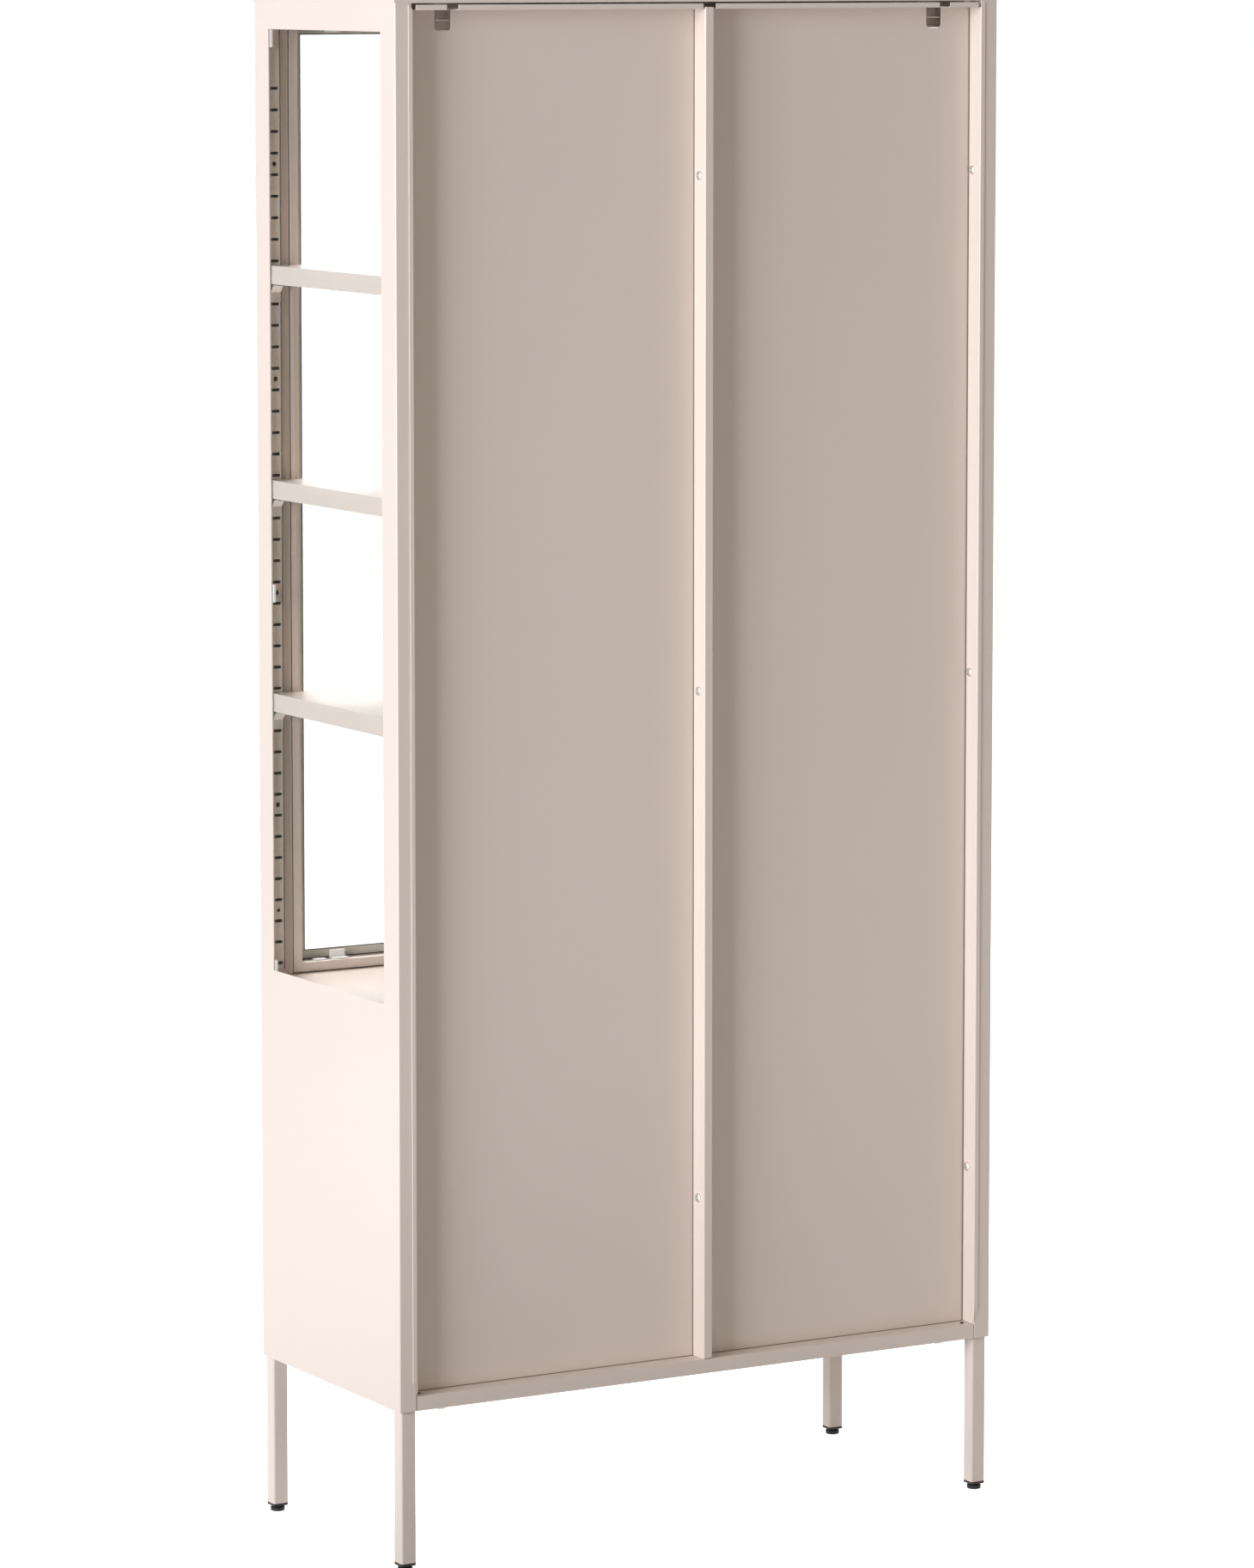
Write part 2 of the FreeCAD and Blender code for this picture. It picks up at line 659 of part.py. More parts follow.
def upper_door():
    x = inset((door_inner_x, door_outer_x), sheet)
    z = inset(upper_door_z, sheet)
    inner_face = (door_inner_y - sheet, door_inner_y)
    half_seam = frame_seam / 2
    half_box = frame_box / 2 - sheet
    outer_band = frame(x, inner_face, z, half_box - half_seam)
    shift = half_box + half_seam
    inner_band = frame(inset(x, shift), inner_face, inset(z, shift), half_box - half_seam + sheet)
    shift = frame_box - 2 * sheet
    inner_wall = frame(inset(x, shift), (front_y + sheet, door_inner_y), inset(z, shift), sheet)
    window = block(inset((door_inner_x, door_outer_x), frame_width),
                   (front_y - overrun, front_y + sheet + overrun), inset(upper_door_z, frame_width))
    door = door_pan(upper_door_z).fuse([outer_band, inner_band, inner_wall] + door_bushes(upper_door_z))
    tools = [window, knob_bore(upper_knob_z)] + door_bores(upper_door_z)
    return door.cut(group(tools)).removeSplitter()


def lower_door():
    x = inset((door_inner_x, door_outer_x), sheet)
    z = inset(lower_door_z, sheet)
    flange = frame(x, (door_inner_y - sheet, door_inner_y), z, door_return - sheet)
    door = door_pan(lower_door_z).fuse([flange] + door_bushes(lower_door_z))
    return door.cut(group([knob_bore(lower_knob_z)] + door_bores(lower_door_z))).removeSplitter()


def door_glass():
    pane_inset = frame_box + pane_gap
    return block(inset((door_inner_x, door_outer_x), pane_inset), (front_y + sheet, front_y + sheet + glass),
                 inset(upper_door_z, pane_inset))


def door_glass_clips():
    """Plastic angles on the rails: the foot lies on the rail, the tab on the pane."""
    pane_y = front_y + sheet + glass
    rail_z = upper_door_z[0] + frame_box
    clips = []
    for centre_x in (door_inner_x + door_clip_inset, door_outer_x - door_clip_inset):
        x = (centre_x - door_clip_length / 2, centre_x + door_clip_length / 2)
        foot = block(x, (pane_y, pane_y + door_clip_foot), (rail_z, rail_z + door_clip_thickness))
        tab = block(x, (pane_y, pane_y + door_clip_thickness), (rail_z, rail_z + door_clip_tab))
        clip = foot.fuse(tab).removeSplitter()
        middle_z = (upper_door_z[0] + upper_door_z[1]) / 2
        clips += [clip, clip.mirror(at(0, 0, middle_z), UP)]
    return group(clips)


# Hinges: fixed pins in the bushes of the doors
def pivot_pin(low_z, high_z):
    return flat_rod(pin_diameter, at(pivot_x, pivot_y, low_z), high_z - low_z, sides=turned_sides)


def pin_collar(low_z, high_z):
    return flat_rod(pin_head, at(pivot_x, pivot_y, low_z), high_z - low_z, sides=hole_sides)


def top_pin():
    bottom_z = upper_door_z[1] - pin_engagement
    head_z = top_z + sheet
    return pivot_pin(bottom_z, head_z).fuse(pin_collar(head_z, head_z + pin_head_height)).removeSplitter()


def middle_pivot():
    """Leaf with one round pin, which carries the upper door and guides the lower one."""
    z = (joint_z - pivot_plate / 2, joint_z + pivot_plate / 2)
    x = (pivot_x - pivot_plate_width / 2, pivot_x + pivot_plate_width / 2)
    back_y = floor_front_y + sheet
    leaf = block(x, (pivot_y - pivot_plate_edge, back_y + pivot_plate_tail), z)
    tab = block(x, (back_y, back_y + pivot_plate), (z[0], z[1] + pivot_plate_tab))
    pin = rod(pin_diameter, at(pivot_x, pivot_y, lower_door_z[1] - pin_engagement),
              at(pivot_x, pivot_y, upper_door_z[0] + pin_engagement))
    return leaf.fuse([tab, pin]).removeSplitter()


def bottom_pin():
    pin = pivot_pin(ledge_z - sheet, lower_door_z[0] + pin_engagement)
    collar = pin_collar(ledge_z, lower_door_z[0] - collar_gap)
    return pin.fuse(collar).removeSplitter()


# Knobs and their screws
def knob(knob_z):
    """Knob with a wide head, drawn along Z and laid on the door."""
    neck_height = knob_length - knob_head_height
    neck = flat_rod(knob_neck_diameter, ORIGIN, neck_height, sides=turned_sides)
    head = flat_rod(knob_diameter, at(0, 0, neck_height), knob_head_height, sides=knob_sides)
    bore = flat_bore(knob_screw_diameter, at(0, 0, -overrun), knob_screw_depth + overrun)
    solid = neck.fuse(head).cut(bore).removeSplitter()
    place = at(door_inner_x + knob_inset, front_y, knob_z)
    solid.Placement = FreeCAD.Placement(place, FreeCAD.Rotation(UP, -BACK))
    return solid


def knob_screw(knob_z):
    x = door_inner_x + knob_inset
    head = flat_rod(knob_screw_head, at(x, front_y + sheet, knob_z), knob_screw_head_height, BACK)
    length = knob_screw_depth + sheet
    shank = flat_rod(knob_screw_diameter - 2 * pin_fit, at(x, front_y + sheet - length, knob_z), length, BACK)
    return head.fuse(shank).removeSplitter()


# Magnetic catches and the keepers on the doors
def catch(hang_z):
    y0 = door_inner_y + keeper_thickness + catch_gap
    x = (catch_inset, catch_inset + catch_length)
    z = (hang_z - catch_height, hang_z)
    housing = block(x, (y0 + pole_proud, y0 + catch_depth), z)
    middle = (x[0] + x[1]) / 2
    poles = [block((middle - pole_length / 2, middle + pole_length / 2), (y0, y0 + catch_depth / 2),
                   (level - pole_thickness / 2, level + pole_thickness / 2))
             for level in inset(z, catch_height * pole_level_share)]
    return housing.fuse(poles).removeSplitter()


def keeper(hang_z):
    middle_x = catch_inset + catch_length / 2
    middle_z = hang_z - catch_height / 2
    return block((middle_x - keeper_length / 2, middle_x + keeper_length / 2),
                 (door_inner_y, door_inner_y + keeper_thickness),
                 (middle_z - keeper_height / 2, middle_z + keeper_height / 2))


# Legs: square tubes with a plate that is bolted under the bottom panel
def bolt_points():
    near = side_x - bolt_inset
    far = side_x - bolt_reach
    right = [(near, front_y + bolt_reach), (far, front_y + bolt_inset),
             (near, rear_y - bolt_reach), (far, rear_y - bolt_inset)]
    return right + [(-x, y) for x, y in right]


def square_bar(size, distance, z):
    """Square bar in the right front corner, its sides this far inside the faces of the cabinet."""
    x = side_x - distance
    y = front_y + distance
    return block((x - size, x), (y, y + size), z)


def upright_edges(bar):
    return [edge for edge in bar.Edges if edge.BoundBox.ZLength > sheet]


def blunt_square(size, corner, distance, z):
    """Square bar with flats that touch corners of the given radius."""
    bar = square_bar(size, distance, z)
    return bar.makeChamfer(corner * (2 - math.sqrt(2)), upright_edges(bar))


def leg():
    """Leg in the right front corner."""
    z = (foot_height, body_z)
    outer = square_bar(leg_size, leg_inset, z)
    outer = outer.makeFillet(leg_corner, upright_edges(outer))
    inner = blunt_square(leg_size - 2 * leg_wall, leg_corner - leg_wall, leg_inset + leg_wall, z)
    near_x = side_x - plate_inset
    near_y = front_y + plate_inset
    far_x = side_x - plate_reach
    far_y = front_y + plate_reach
    outline = [(near_x, near_y), (near_x, far_y), (near_x - plate_edge, far_y),
               (far_x, near_y + plate_edge), (far_x, near_y)]
    points = [at(px, py, z[1] - plate_thickness) for px, py in outline]
    plate = Part.Face(Part.makePolygon(points + points[:1])).extrude(UP * plate_thickness)
    bores = [flat_bore(bolt_diameter + bolt_play, at(bx, by, z[1] - plate_thickness - overrun),
                       plate_thickness + 2 * overrun) for bx, by in bolt_points()[:2]]
    return outer.cut(inner).fuse(plate).cut(group(bores)).removeSplitter()


def leg_bolt(x, y):
    """Bolt from below, with its nut above the folded edge of the bottom panel."""
    under_z = body_z - plate_thickness
    nut_z = body_z + sheet
    head = flat_rod(bolt_head, at(x, y, under_z - bolt_head_height), bolt_head_height)
    shank = flat_rod(bolt_diameter, at(x, y, under_z), nut_z + nut_height - under_z)
    nut = flat_bore(nut_size, at(x, y, nut_z), nut_height, sides=nut_sides)
    nut = nut.cut(flat_bore(bolt_diameter + 2 * pin_fit, at(x, y, nut_z), nut_height))
    return [head.fuse(shank).removeSplitter(), nut]


def foot_centre():
    return (side_x - leg_inset - leg_size / 2, front_y + leg_inset + leg_size / 2)


def leg_cap():
    """Black plug with a square flange in the end of the leg."""
    flange = blunt_square(leg_size, leg_corner, leg_inset, (foot_height - cap_flange, foot_height))
    play = leg_wall + plug_play
    plug = blunt_square(leg_size - 2 * play, leg_corner - leg_wall, leg_inset + play,
                        (foot_height, foot_height + cap_plug))
    cx, cy = foot_centre()
    bore = flat_bore(stud_diameter + 2 * stud_play, at(cx, cy, foot_height - cap_flange - overrun),
                     cap_flange + cap_plug + 2 * overrun, sides=turned_sides)
    return flange.fuse(plug).cut(bore).removeSplitter()


def foot():
    """Levelling foot with its stud."""
    cx, cy = foot_centre()
    pad_height = foot_height - cap_flange
    pad = flat_rod(foot_diameter, at(cx, cy, 0), pad_height, sides=turned_sides)
    lower_rim = [edge for edge in pad.Edges if edge.BoundBox.ZMax < foot_edge]
    pad = pad.makeChamfer(foot_edge, lower_rim)
    stud = flat_rod(stud_diameter, at(cx, cy, pad_height), stud_length, sides=turned_sides)
    return pad.fuse(stud).removeSplitter()


def four_corners(name, piece):
    rear = front_to_rear(piece)
    save_pair(name + "_front", piece)
    save_pair(name + "_rear", rear)


upper_knob_z = upper_door_z[0] + upper_knob_height
lower_knob_z = lower_door_z[1] - lower_knob_drop

os.makedirs("parts", exist_ok=True)

save_pair("side_panel", side_panel())
four_corners("upright", upright())
save("top_panel", top_panel())
save("bottom_panel", bottom_panel())
save("mid_floor", mid_floor())

strut_right = side_x - strut_x
save("back_pan_right", back_pan(strut_right + sheet))
save("back_pan_left", mirrored(back_pan(width - strut_right - strut_width + sheet)))
save("back_strut", back_strut())
save("back_screws", back_screws())

for label, step in zip(("upper", "middle", "lower"), shelf_steps):
    shelf_z = slot_z(step) - slot_above_shelf
    save("shelf_" + label, shelf(shelf_z))
    save("shelf_clips_" + label, shelf_clips(shelf_z))
base_shelf_z = body_z + low_slot_start + low_shelf_step * slot_pitch - slot_above_shelf
save("shelf_base", shelf(base_shelf_z))
save("shelf_clips_base", shelf_clips(base_shelf_z))

save_pair("side_glass", side_glass())
save_pair("side_glass_clips", side_glass_clips())

save_pair("upper_door", upper_door())
save_pair("lower_door", lower_door())
save_pair("door_glass", door_glass())
save_pair("door_glass_clips", door_glass_clips())
save_pair("upper_knob", knob(upper_knob_z))
save_pair("lower_knob", knob(lower_knob_z))
save_pair("upper_knob_screw", knob_screw(upper_knob_z))
save_pair("lower_knob_screw", knob_screw(lower_knob_z))

save("top_pivot_pins", top_pin(), mirrored(top_pin()))
save("middle_pivots", middle_pivot(), mirrored(middle_pivot()))
save("bottom_pivot_pins", bottom_pin(), mirrored(bottom_pin()))

floor_underside_z = floor_z - floor_height
save("magnetic_catches", *[piece for hang_z in (top_z, floor_underside_z)
                           for piece in (catch(hang_z), mirrored(catch(hang_z)))])
save_pair("upper_keeper", keeper(top_z))
save_pair("lower_keeper", keeper(floor_underside_z))

four_corners("leg", leg())
save("leg_bolts", *[piece for x, y in bolt_points() for piece in leg_bolt(x, y)])
cap = leg_cap()
save("leg_caps", cap, mirrored(cap), front_to_rear(cap), mirrored(front_to_rear(cap)))
four_corners("foot", foot())
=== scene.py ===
# %% [markdown]
# Display cabinet of powder-coated sheet steel, seen from behind.
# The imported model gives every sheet, pane and post at its real size. This lesson adds what a
# drawing leaves out: screws with their recesses, turned knobs, threaded feet, and a finish for
# each surface. Everything is in metres, +Z up, and the doors face -Y.

import bmesh
import bpy
import json
import math
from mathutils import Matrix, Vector


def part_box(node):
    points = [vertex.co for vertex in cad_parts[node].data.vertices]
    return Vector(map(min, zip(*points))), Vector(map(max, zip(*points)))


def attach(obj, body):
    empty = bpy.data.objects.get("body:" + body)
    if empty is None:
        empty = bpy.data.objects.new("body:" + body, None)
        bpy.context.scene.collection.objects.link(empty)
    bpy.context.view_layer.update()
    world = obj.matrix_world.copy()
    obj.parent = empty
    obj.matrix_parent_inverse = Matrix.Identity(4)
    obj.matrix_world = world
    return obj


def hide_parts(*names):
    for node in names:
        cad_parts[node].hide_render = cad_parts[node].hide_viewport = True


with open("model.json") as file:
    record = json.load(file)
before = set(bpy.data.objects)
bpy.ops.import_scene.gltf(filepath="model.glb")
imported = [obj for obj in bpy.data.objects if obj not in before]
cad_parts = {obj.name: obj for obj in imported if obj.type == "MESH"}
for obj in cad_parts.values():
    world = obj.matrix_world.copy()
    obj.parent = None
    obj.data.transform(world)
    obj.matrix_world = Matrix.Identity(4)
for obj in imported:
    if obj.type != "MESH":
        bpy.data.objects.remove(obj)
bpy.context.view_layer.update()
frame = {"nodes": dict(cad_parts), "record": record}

# %% [markdown]
# The camera stands behind the cabinet, on the side of its right hand wall, a little above its
# top. A long lens keeps the upright edges nearly parallel, as in a catalogue picture. The small
# shift lifts the picture, so that the feet come near the lower edge without tilting the camera more.

# %% Camera
photo_height = 1826
focal_length_in_pixels = 7288
sensor_mm = 36.0
camera_place = (3.6657, 6.3696, 1.8436)
camera_heading = 150.05      # degrees, turned from +Y
camera_pitch = 5.91          # degrees, downwards
picture_shift = -0.1186

bpy.ops.object.camera_add(location=camera_place, rotation=(math.radians(90 - camera_pitch), 0,
                                                           math.radians(camera_heading)))
camera = bpy.context.object
camera.name = "camera"
camera.data.sensor_width = sensor_mm
camera.data.lens = sensor_mm * focal_length_in_pixels / photo_height
camera.data.shift_y = picture_shift
bpy.context.scene.camera = camera
bpy.context.scene.view_settings.view_transform = "Standard"
print("lens:", round(camera.data.lens, 2), "mm")

# %% [markdown]
# A large soft lamp beside the right hand wall gives that wall its brightness and lets the back,
# which it only grazes, stay darker. A second lamp lights the doors for views from the front. Small
# lamps would throw hard shadows, so both are wide area lamps, as in a photographer's studio.

# %% Lamps
def soft_lamp(name, place, aim, size, power, colour):
    bpy.ops.object.light_add(type="AREA", location=place)
    lamp = bpy.context.object
    lamp.name = name
    lamp.rotation_euler = (Vector(aim) - Vector(place)).to_track_quat("-Z", "Y").to_euler()
    lamp.data.shape = "RECTANGLE"
    lamp.data.size, lamp.data.size_y = size
    lamp.data.energy = power
    lamp.data.color = colour


middle = (0, 0, 0.95)
soft_lamp("lamp_side", place=(7.1, 2.35, 1.5), aim=middle, size=(3.6, 5.2), power=800,
          colour=(0.88, 0.925, 0.995))
soft_lamp("lamp_front", place=(-1.3, -2.7, 4.2), aim=middle, size=(2.4, 2.4), power=300,
          colour=(0.96, 0.98, 1.0))

# %% [markdown]
# The world gives an even light from all sides. A white world would light the paint far too much, so
# it is white only to the camera, to mirrors and to glass, which Light Path tells apart, and a
# dimmer and warmer light to everything else. Glass keeps back a part of what is seen through it,
# and that part is added again.

# %% World
room_level = 0.345
room_colour = (1.0, 0.94, 0.82, 1)
pane_loss = 0.38            # light that two panes keep back


def seen_directly(nodes, links, rays):
    """Gives 1 for light that reaches the camera, a mirror or a pane, and 0 for all other light."""
    result = rays.outputs["Is Camera Ray"]
    for kind in ("Is Glossy Ray", "Is Transmission Ray"):
        either = nodes.new("ShaderNodeMath")
        either.operation = "MAXIMUM"
        links.new(result, either.inputs[0])
        links.new(rays.outputs[kind], either.inputs[1])
        result = either.outputs[0]
    return result


def brighter_behind_glass(nodes, links, rays):
    """Adds what the panes keep back to a brightness, which is 1 unless it is linked."""
    brighter = nodes.new("ShaderNodeMath")
    brighter.operation = "MULTIPLY_ADD"
    brighter.inputs[1].default_value = pane_loss
    brighter.inputs[2].default_value = 1.0
    links.new(rays.outputs["Is Transmission Ray"], brighter.inputs[0])
    return brighter


world = bpy.data.worlds.new("studio")
bpy.context.scene.world = world
world.use_nodes = True
nodes, links = world.node_tree.nodes, world.node_tree.links
nodes.clear()
rays = nodes.new("ShaderNodeLightPath")
room = nodes.new("ShaderNodeBackground")
room.inputs["Color"].default_value = room_colour
room.inputs["Strength"].default_value = room_level
backdrop = nodes.new("ShaderNodeBackground")
backdrop.inputs["Color"].default_value = (1, 1, 1, 1)
choose = nodes.new("ShaderNodeMixShader")
output = nodes.new("ShaderNodeOutputWorld")
links.new(brighter_behind_glass(nodes, links, rays).outputs[0], backdrop.inputs["Strength"])
links.new(seen_directly(nodes, links, rays), choose.inputs["Fac"])
links.new(room.outputs[0], choose.inputs[1])
links.new(backdrop.outputs[0], choose.inputs[2])
links.new(choose.outputs[0], output.inputs["Surface"])
print("room light:", room_level, "of plain white")

# %% [markdown]
# Powder coat is a thin melted skin. Close up it has a soft, pebbled surface, often called orange
# peel, and its gloss changes a little from place to place. Paint, plastic and metal all need such
# a fine, uneven surface, so it is made once, as a node group that gives a shade, a height and a
# gloss. Each material gives it its own grain size.

# %% Surface grain group
noise_middle = 0.5


def grain_group():
    group = bpy.data.node_groups.new("surface_grain", "ShaderNodeTree")
    face = group.interface
    face.new_socket("Place", in_out="INPUT", socket_type="NodeSocketVector")
    for name, value in (("Grains per metre", 500.0), ("Cloud size", 3.0), ("Mottle", 0.03), ("Gloss", 0.4),
                        ("Gloss change", 0.05)):
        socket = face.new_socket(name, in_out="INPUT", socket_type="NodeSocketFloat")
        socket.default_value = value
    for name in ("Shade", "Height", "Roughness"):
        face.new_socket(name, in_out="OUTPUT", socket_type="NodeSocketFloat")
    nodes, links = group.nodes, group.links
    inside = nodes.new("NodeGroupInput")
    outside = nodes.new("NodeGroupOutput")
    grain = nodes.new("ShaderNodeTexNoise")
    grain.inputs["Detail"].default_value = 2.0
    clouds = nodes.new("ShaderNodeTexNoise")
    clouds.inputs["Detail"].default_value = 3.0
    links.new(inside.outputs["Place"], grain.inputs["Vector"])
    links.new(inside.outputs["Grains per metre"], grain.inputs["Scale"])
    links.new(inside.outputs["Place"], clouds.inputs["Vector"])
    links.new(inside.outputs["Cloud size"], clouds.inputs["Scale"])

    def around(source, middle, change):
        """Moves a noise of 0 to 1 around a middle value, up and down by half the change."""
        centred = nodes.new("ShaderNodeMath")
        centred.operation = "SUBTRACT"
        centred.inputs[1].default_value = noise_middle
        links.new(source, centred.inputs[0])
        scaled = nodes.new("ShaderNodeMath")
        scaled.operation = "MULTIPLY_ADD"
        links.new(centred.outputs[0], scaled.inputs[0])
        links.new(change, scaled.inputs[1])
        if isinstance(middle, float):
            scaled.inputs[2].default_value = middle
        else:
            links.new(middle, scaled.inputs[2])
        return scaled.outputs[0]

    links.new(around(clouds.outputs["Fac"], 1.0, inside.outputs["Mottle"]), outside.inputs["Shade"])
    links.new(grain.outputs["Fac"], outside.inputs["Height"])
    links.new(around(clouds.outputs["Fac"], inside.outputs["Gloss"], inside.outputs["Gloss change"]),
              outside.inputs["Roughness"])
    return group


surface_grain = grain_group()
print("group outputs:", [s.name for s in surface_grain.interface.items_tree if s.in_out == "OUTPUT"])

# %% [markdown]
# Every opaque finish here has the same build: a shader whose colour is the finish's own colour
# times the shade of the grain, whose roughness is the grain's gloss, and whose normal comes from
# a bump of the grain's height. One function builds it, and each finish gives its own numbers.

# %% Build of an opaque finish
finishes = {}


def finish_material(name, colour, gloss, grains, bump_height, mottle, gloss_change=0.06, cloud_size=4.0,
                    metallic=0.0, specular=0.5):
    material = bpy.data.materials.new(name)
    material.use_nodes = True
    nodes, links = material.node_tree.nodes, material.node_tree.links
    shader = nodes["Principled BSDF"]
    shader.inputs["Metallic"].default_value = metallic
    shader.inputs["Specular IOR Level"].default_value = specular
    place = nodes.new("ShaderNodeTexCoord")
    grain = nodes.new("ShaderNodeGroup")
    grain.node_tree = surface_grain
    for socket, value in (("Grains per metre", grains), ("Cloud size", cloud_size), ("Mottle", mottle),
                          ("Gloss", gloss), ("Gloss change", gloss_change)):
        grain.inputs[socket].default_value = value
    tint = nodes.new("ShaderNodeVectorMath")
    tint.operation = "SCALE"
    tint.inputs[0].default_value = colour
    bump = nodes.new("ShaderNodeBump")
    bump.inputs["Distance"].default_value = bump_height
    links.new(place.outputs["Object"], grain.inputs["Place"])
    links.new(grain.outputs["Shade"], tint.inputs["Scale"])
    links.new(tint.outputs[0], shader.inputs["Base Color"])
    links.new(grain.outputs["Roughness"], shader.inputs["Roughness"])
    links.new(grain.outputs["Height"], bump.inputs["Height"])
    links.new(bump.outputs["Normal"], shader.inputs["Normal"])
    finishes[name] = material


# %% [markdown]
# Sheets and knobs have the same pale, warm powder coat. Its colour is written in screen values, and
# a shader takes linear ones, so it is converted first. Screws and bolts are dull zinc with a mottle
# of light and dark spangles. The plastics differ in colour, gloss and grain, and the clips let a
# little light in, so they have some subsurface.

# %% Paint, zinc and plastics
def from_srgb(red, green, blue):
    """Screen values of 0 to 255 as the linear colour that a shader takes."""
    foot = 0.055
    power = 2.4
    return tuple(((value / 255 + foot) / (1 + foot)) ** power for value in (red, green, blue))


paint_colour = from_srgb(222, 207, 197)
finish_material("painted_sheet", paint_colour, gloss=0.3, grains=700, bump_height=0.00003, mottle=0.03)
finish_material("painted_knob", paint_colour, gloss=0.32, grains=900, bump_height=0.00002, mottle=0.03)
finish_material("zinc", (0.78, 0.75, 0.71), gloss=0.42, grains=1500, bump_height=0.00003, mottle=0.25,
                gloss_change=0.2, cloud_size=220, metallic=1.0)
finish_material("clip_plastic", (0.93, 0.91, 0.88), gloss=0.35, grains=800, bump_height=0.00003, mottle=0.06)
finish_material("catch_plastic", (0.74, 0.71, 0.65), gloss=0.5, grains=1200, bump_height=0.00005, mottle=0.06)
# A dark brown for thin lines that are painted shade in the corners and gaps of the cabinet.
finish_material("painted_shade_line", (0.17, 0.14, 0.115), gloss=0.6, grains=600, bump_height=0.00005, mottle=0.1)
finish_material("black_plastic", (0.016, 0.014, 0.015), gloss=0.5, grains=1400, bump_height=0.00008,
                mottle=0.5, gloss_change=0.2, cloud_size=120, specular=0.35)
clip_shader = finishes["clip_plastic"].node_tree.nodes["Principled BSDF"]
clip_shader.inputs["Subsurface Weight"].default_value = 0.3
clip_shader.inputs["Subsurface Scale"].default_value = 0.003
print("opaque finishes:", sorted(finishes))

# %% [markdown]
# The panes are 4 mm of clear float glass, solid in the model, so light bends at both faces as it
# does in the real pane. Lamp light and room light on their way to a surface pass straight through,
# each a little tinted: that keeps the shelves lit through the glass without slow, speckled light.
# Faint wipe marks change the gloss of a clean pane a very little.

# %% Clear glass
pane_tint = (0.984, 0.999, 0.996)
room_light_passed = (0.92, 1.0, 1.0, 1)
lamp_light_passed = (1.0, 0.97, 0.965, 1)


def glass_material():
    material = bpy.data.materials.new("clear_glass")
    material.use_nodes = True
    nodes, links = material.node_tree.nodes, material.node_tree.links
    shader = nodes["Principled BSDF"]
    shader.inputs["Transmission Weight"].default_value = 1.0
    shader.inputs["IOR"].default_value = 1.5
    place = nodes.new("ShaderNodeTexCoord")
    wipes = nodes.new("ShaderNodeGroup")
    wipes.node_tree = surface_grain
    for socket, value in (("Grains per metre", 40.0), ("Cloud size", 6.0), ("Mottle", 0.004), ("Gloss", 0.01),
                          ("Gloss change", 0.02)):
        wipes.inputs[socket].default_value = value
    tint = nodes.new("ShaderNodeVectorMath")
    tint.operation = "SCALE"
    tint.inputs[0].default_value = pane_tint
    links.new(place.outputs["Object"], wipes.inputs["Place"])
    links.new(wipes.outputs["Shade"], tint.inputs["Scale"])
    links.new(tint.outputs[0], shader.inputs["Base Color"])
    links.new(wipes.outputs["Roughness"], shader.inputs["Roughness"])
    rays = nodes.new("ShaderNodeLightPath")
    result = shader.outputs[0]
    for ray, passed in (("Is Diffuse Ray", room_light_passed), ("Is Shadow Ray", lamp_light_passed)):
        clear = nodes.new("ShaderNodeBsdfTransparent")
        clear.inputs["Color"].default_value = passed
        choose = nodes.new("ShaderNodeMixShader")
        links.new(rays.outputs[ray], choose.inputs["Fac"])
        links.new(result, choose.inputs[1])
        links.new(clear.outputs[0], choose.inputs[2])
        result = choose.outputs[0]
    links.new(result, nodes["Material Output"].inputs["Surface"])
    finishes["clear_glass"] = material


glass_material()
print("clear finish:", finishes["clear_glass"].name)

# %% [markdown]
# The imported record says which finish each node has. Each node of the model gets that material in
# all of its slots, and its shape is left alone.

# %% Finishes of the model
for part in frame["record"]["subparts"]:
    model = frame["nodes"][part["node"]]
    model.data.materials.clear()
    model.data.materials.append(finishes[part["material_slot"]])

# %% [markdown]
# An operator acts on all that is selected, and a modifier on the active piece, so each step first
# picks its piece alone. Modifiers could stay live, but here they are applied at once, so that the
# next step finds the faces and edges of the real shape.

# %% Picking a piece and applying a modifier
def deselect():
    bpy.ops.object.select_all(action="DESELECT")


def pick(piece):
    """Selects one piece alone and makes it the active one."""
    deselect()
    piece.select_set(True)
    bpy.context.view_layer.objects.active = piece


def apply_modifier(piece, kind, **settings):
    modifier = piece.modifiers.new(kind.lower(), kind)
    for name, value in settings.items():
        setattr(modifier, name, value)
    pick(piece)
    bpy.ops.object.modifier_apply(modifier=modifier.name)


# %% [markdown]
# Screws, knobs and feet are all turned: round about one axis. Spinning a drawn outline would do as
# well, but leaves doubled points that have to be merged. So each starts as a flat disc, which is
# drawn up in edit mode through the steps of its outline: extrude to the next height, then resize
# the end face to the next radius.

# %% Turned pieces
def turned(name, outline, sides=32):
    """Draws a disc up through (radius, height) steps."""
    deselect()
    radius, height = outline[0]
    bpy.ops.mesh.primitive_circle_add(vertices=sides, radius=radius, fill_type="NGON",
                                      location=(0, 0, height))
    piece = bpy.context.object
    piece.name = name
    bpy.ops.object.transform_apply(location=True, rotation=True, scale=True)
    bpy.ops.object.mode_set(mode="EDIT")
    bpy.ops.mesh.select_all(action="SELECT")
    for new_radius, new_height in outline[1:]:
        bpy.ops.mesh.extrude_region_move(TRANSFORM_OT_translate={"value": (0, 0, new_height - height)})
        share = new_radius / radius
        bpy.ops.transform.resize(value=(share, share, 1), center_override=(0, 0, new_height))
        radius, height = new_radius, new_height
    bpy.ops.mesh.select_all(action="SELECT")
    bpy.ops.mesh.normals_make_consistent(inside=False)
    bpy.ops.object.mode_set(mode="OBJECT")
    return piece


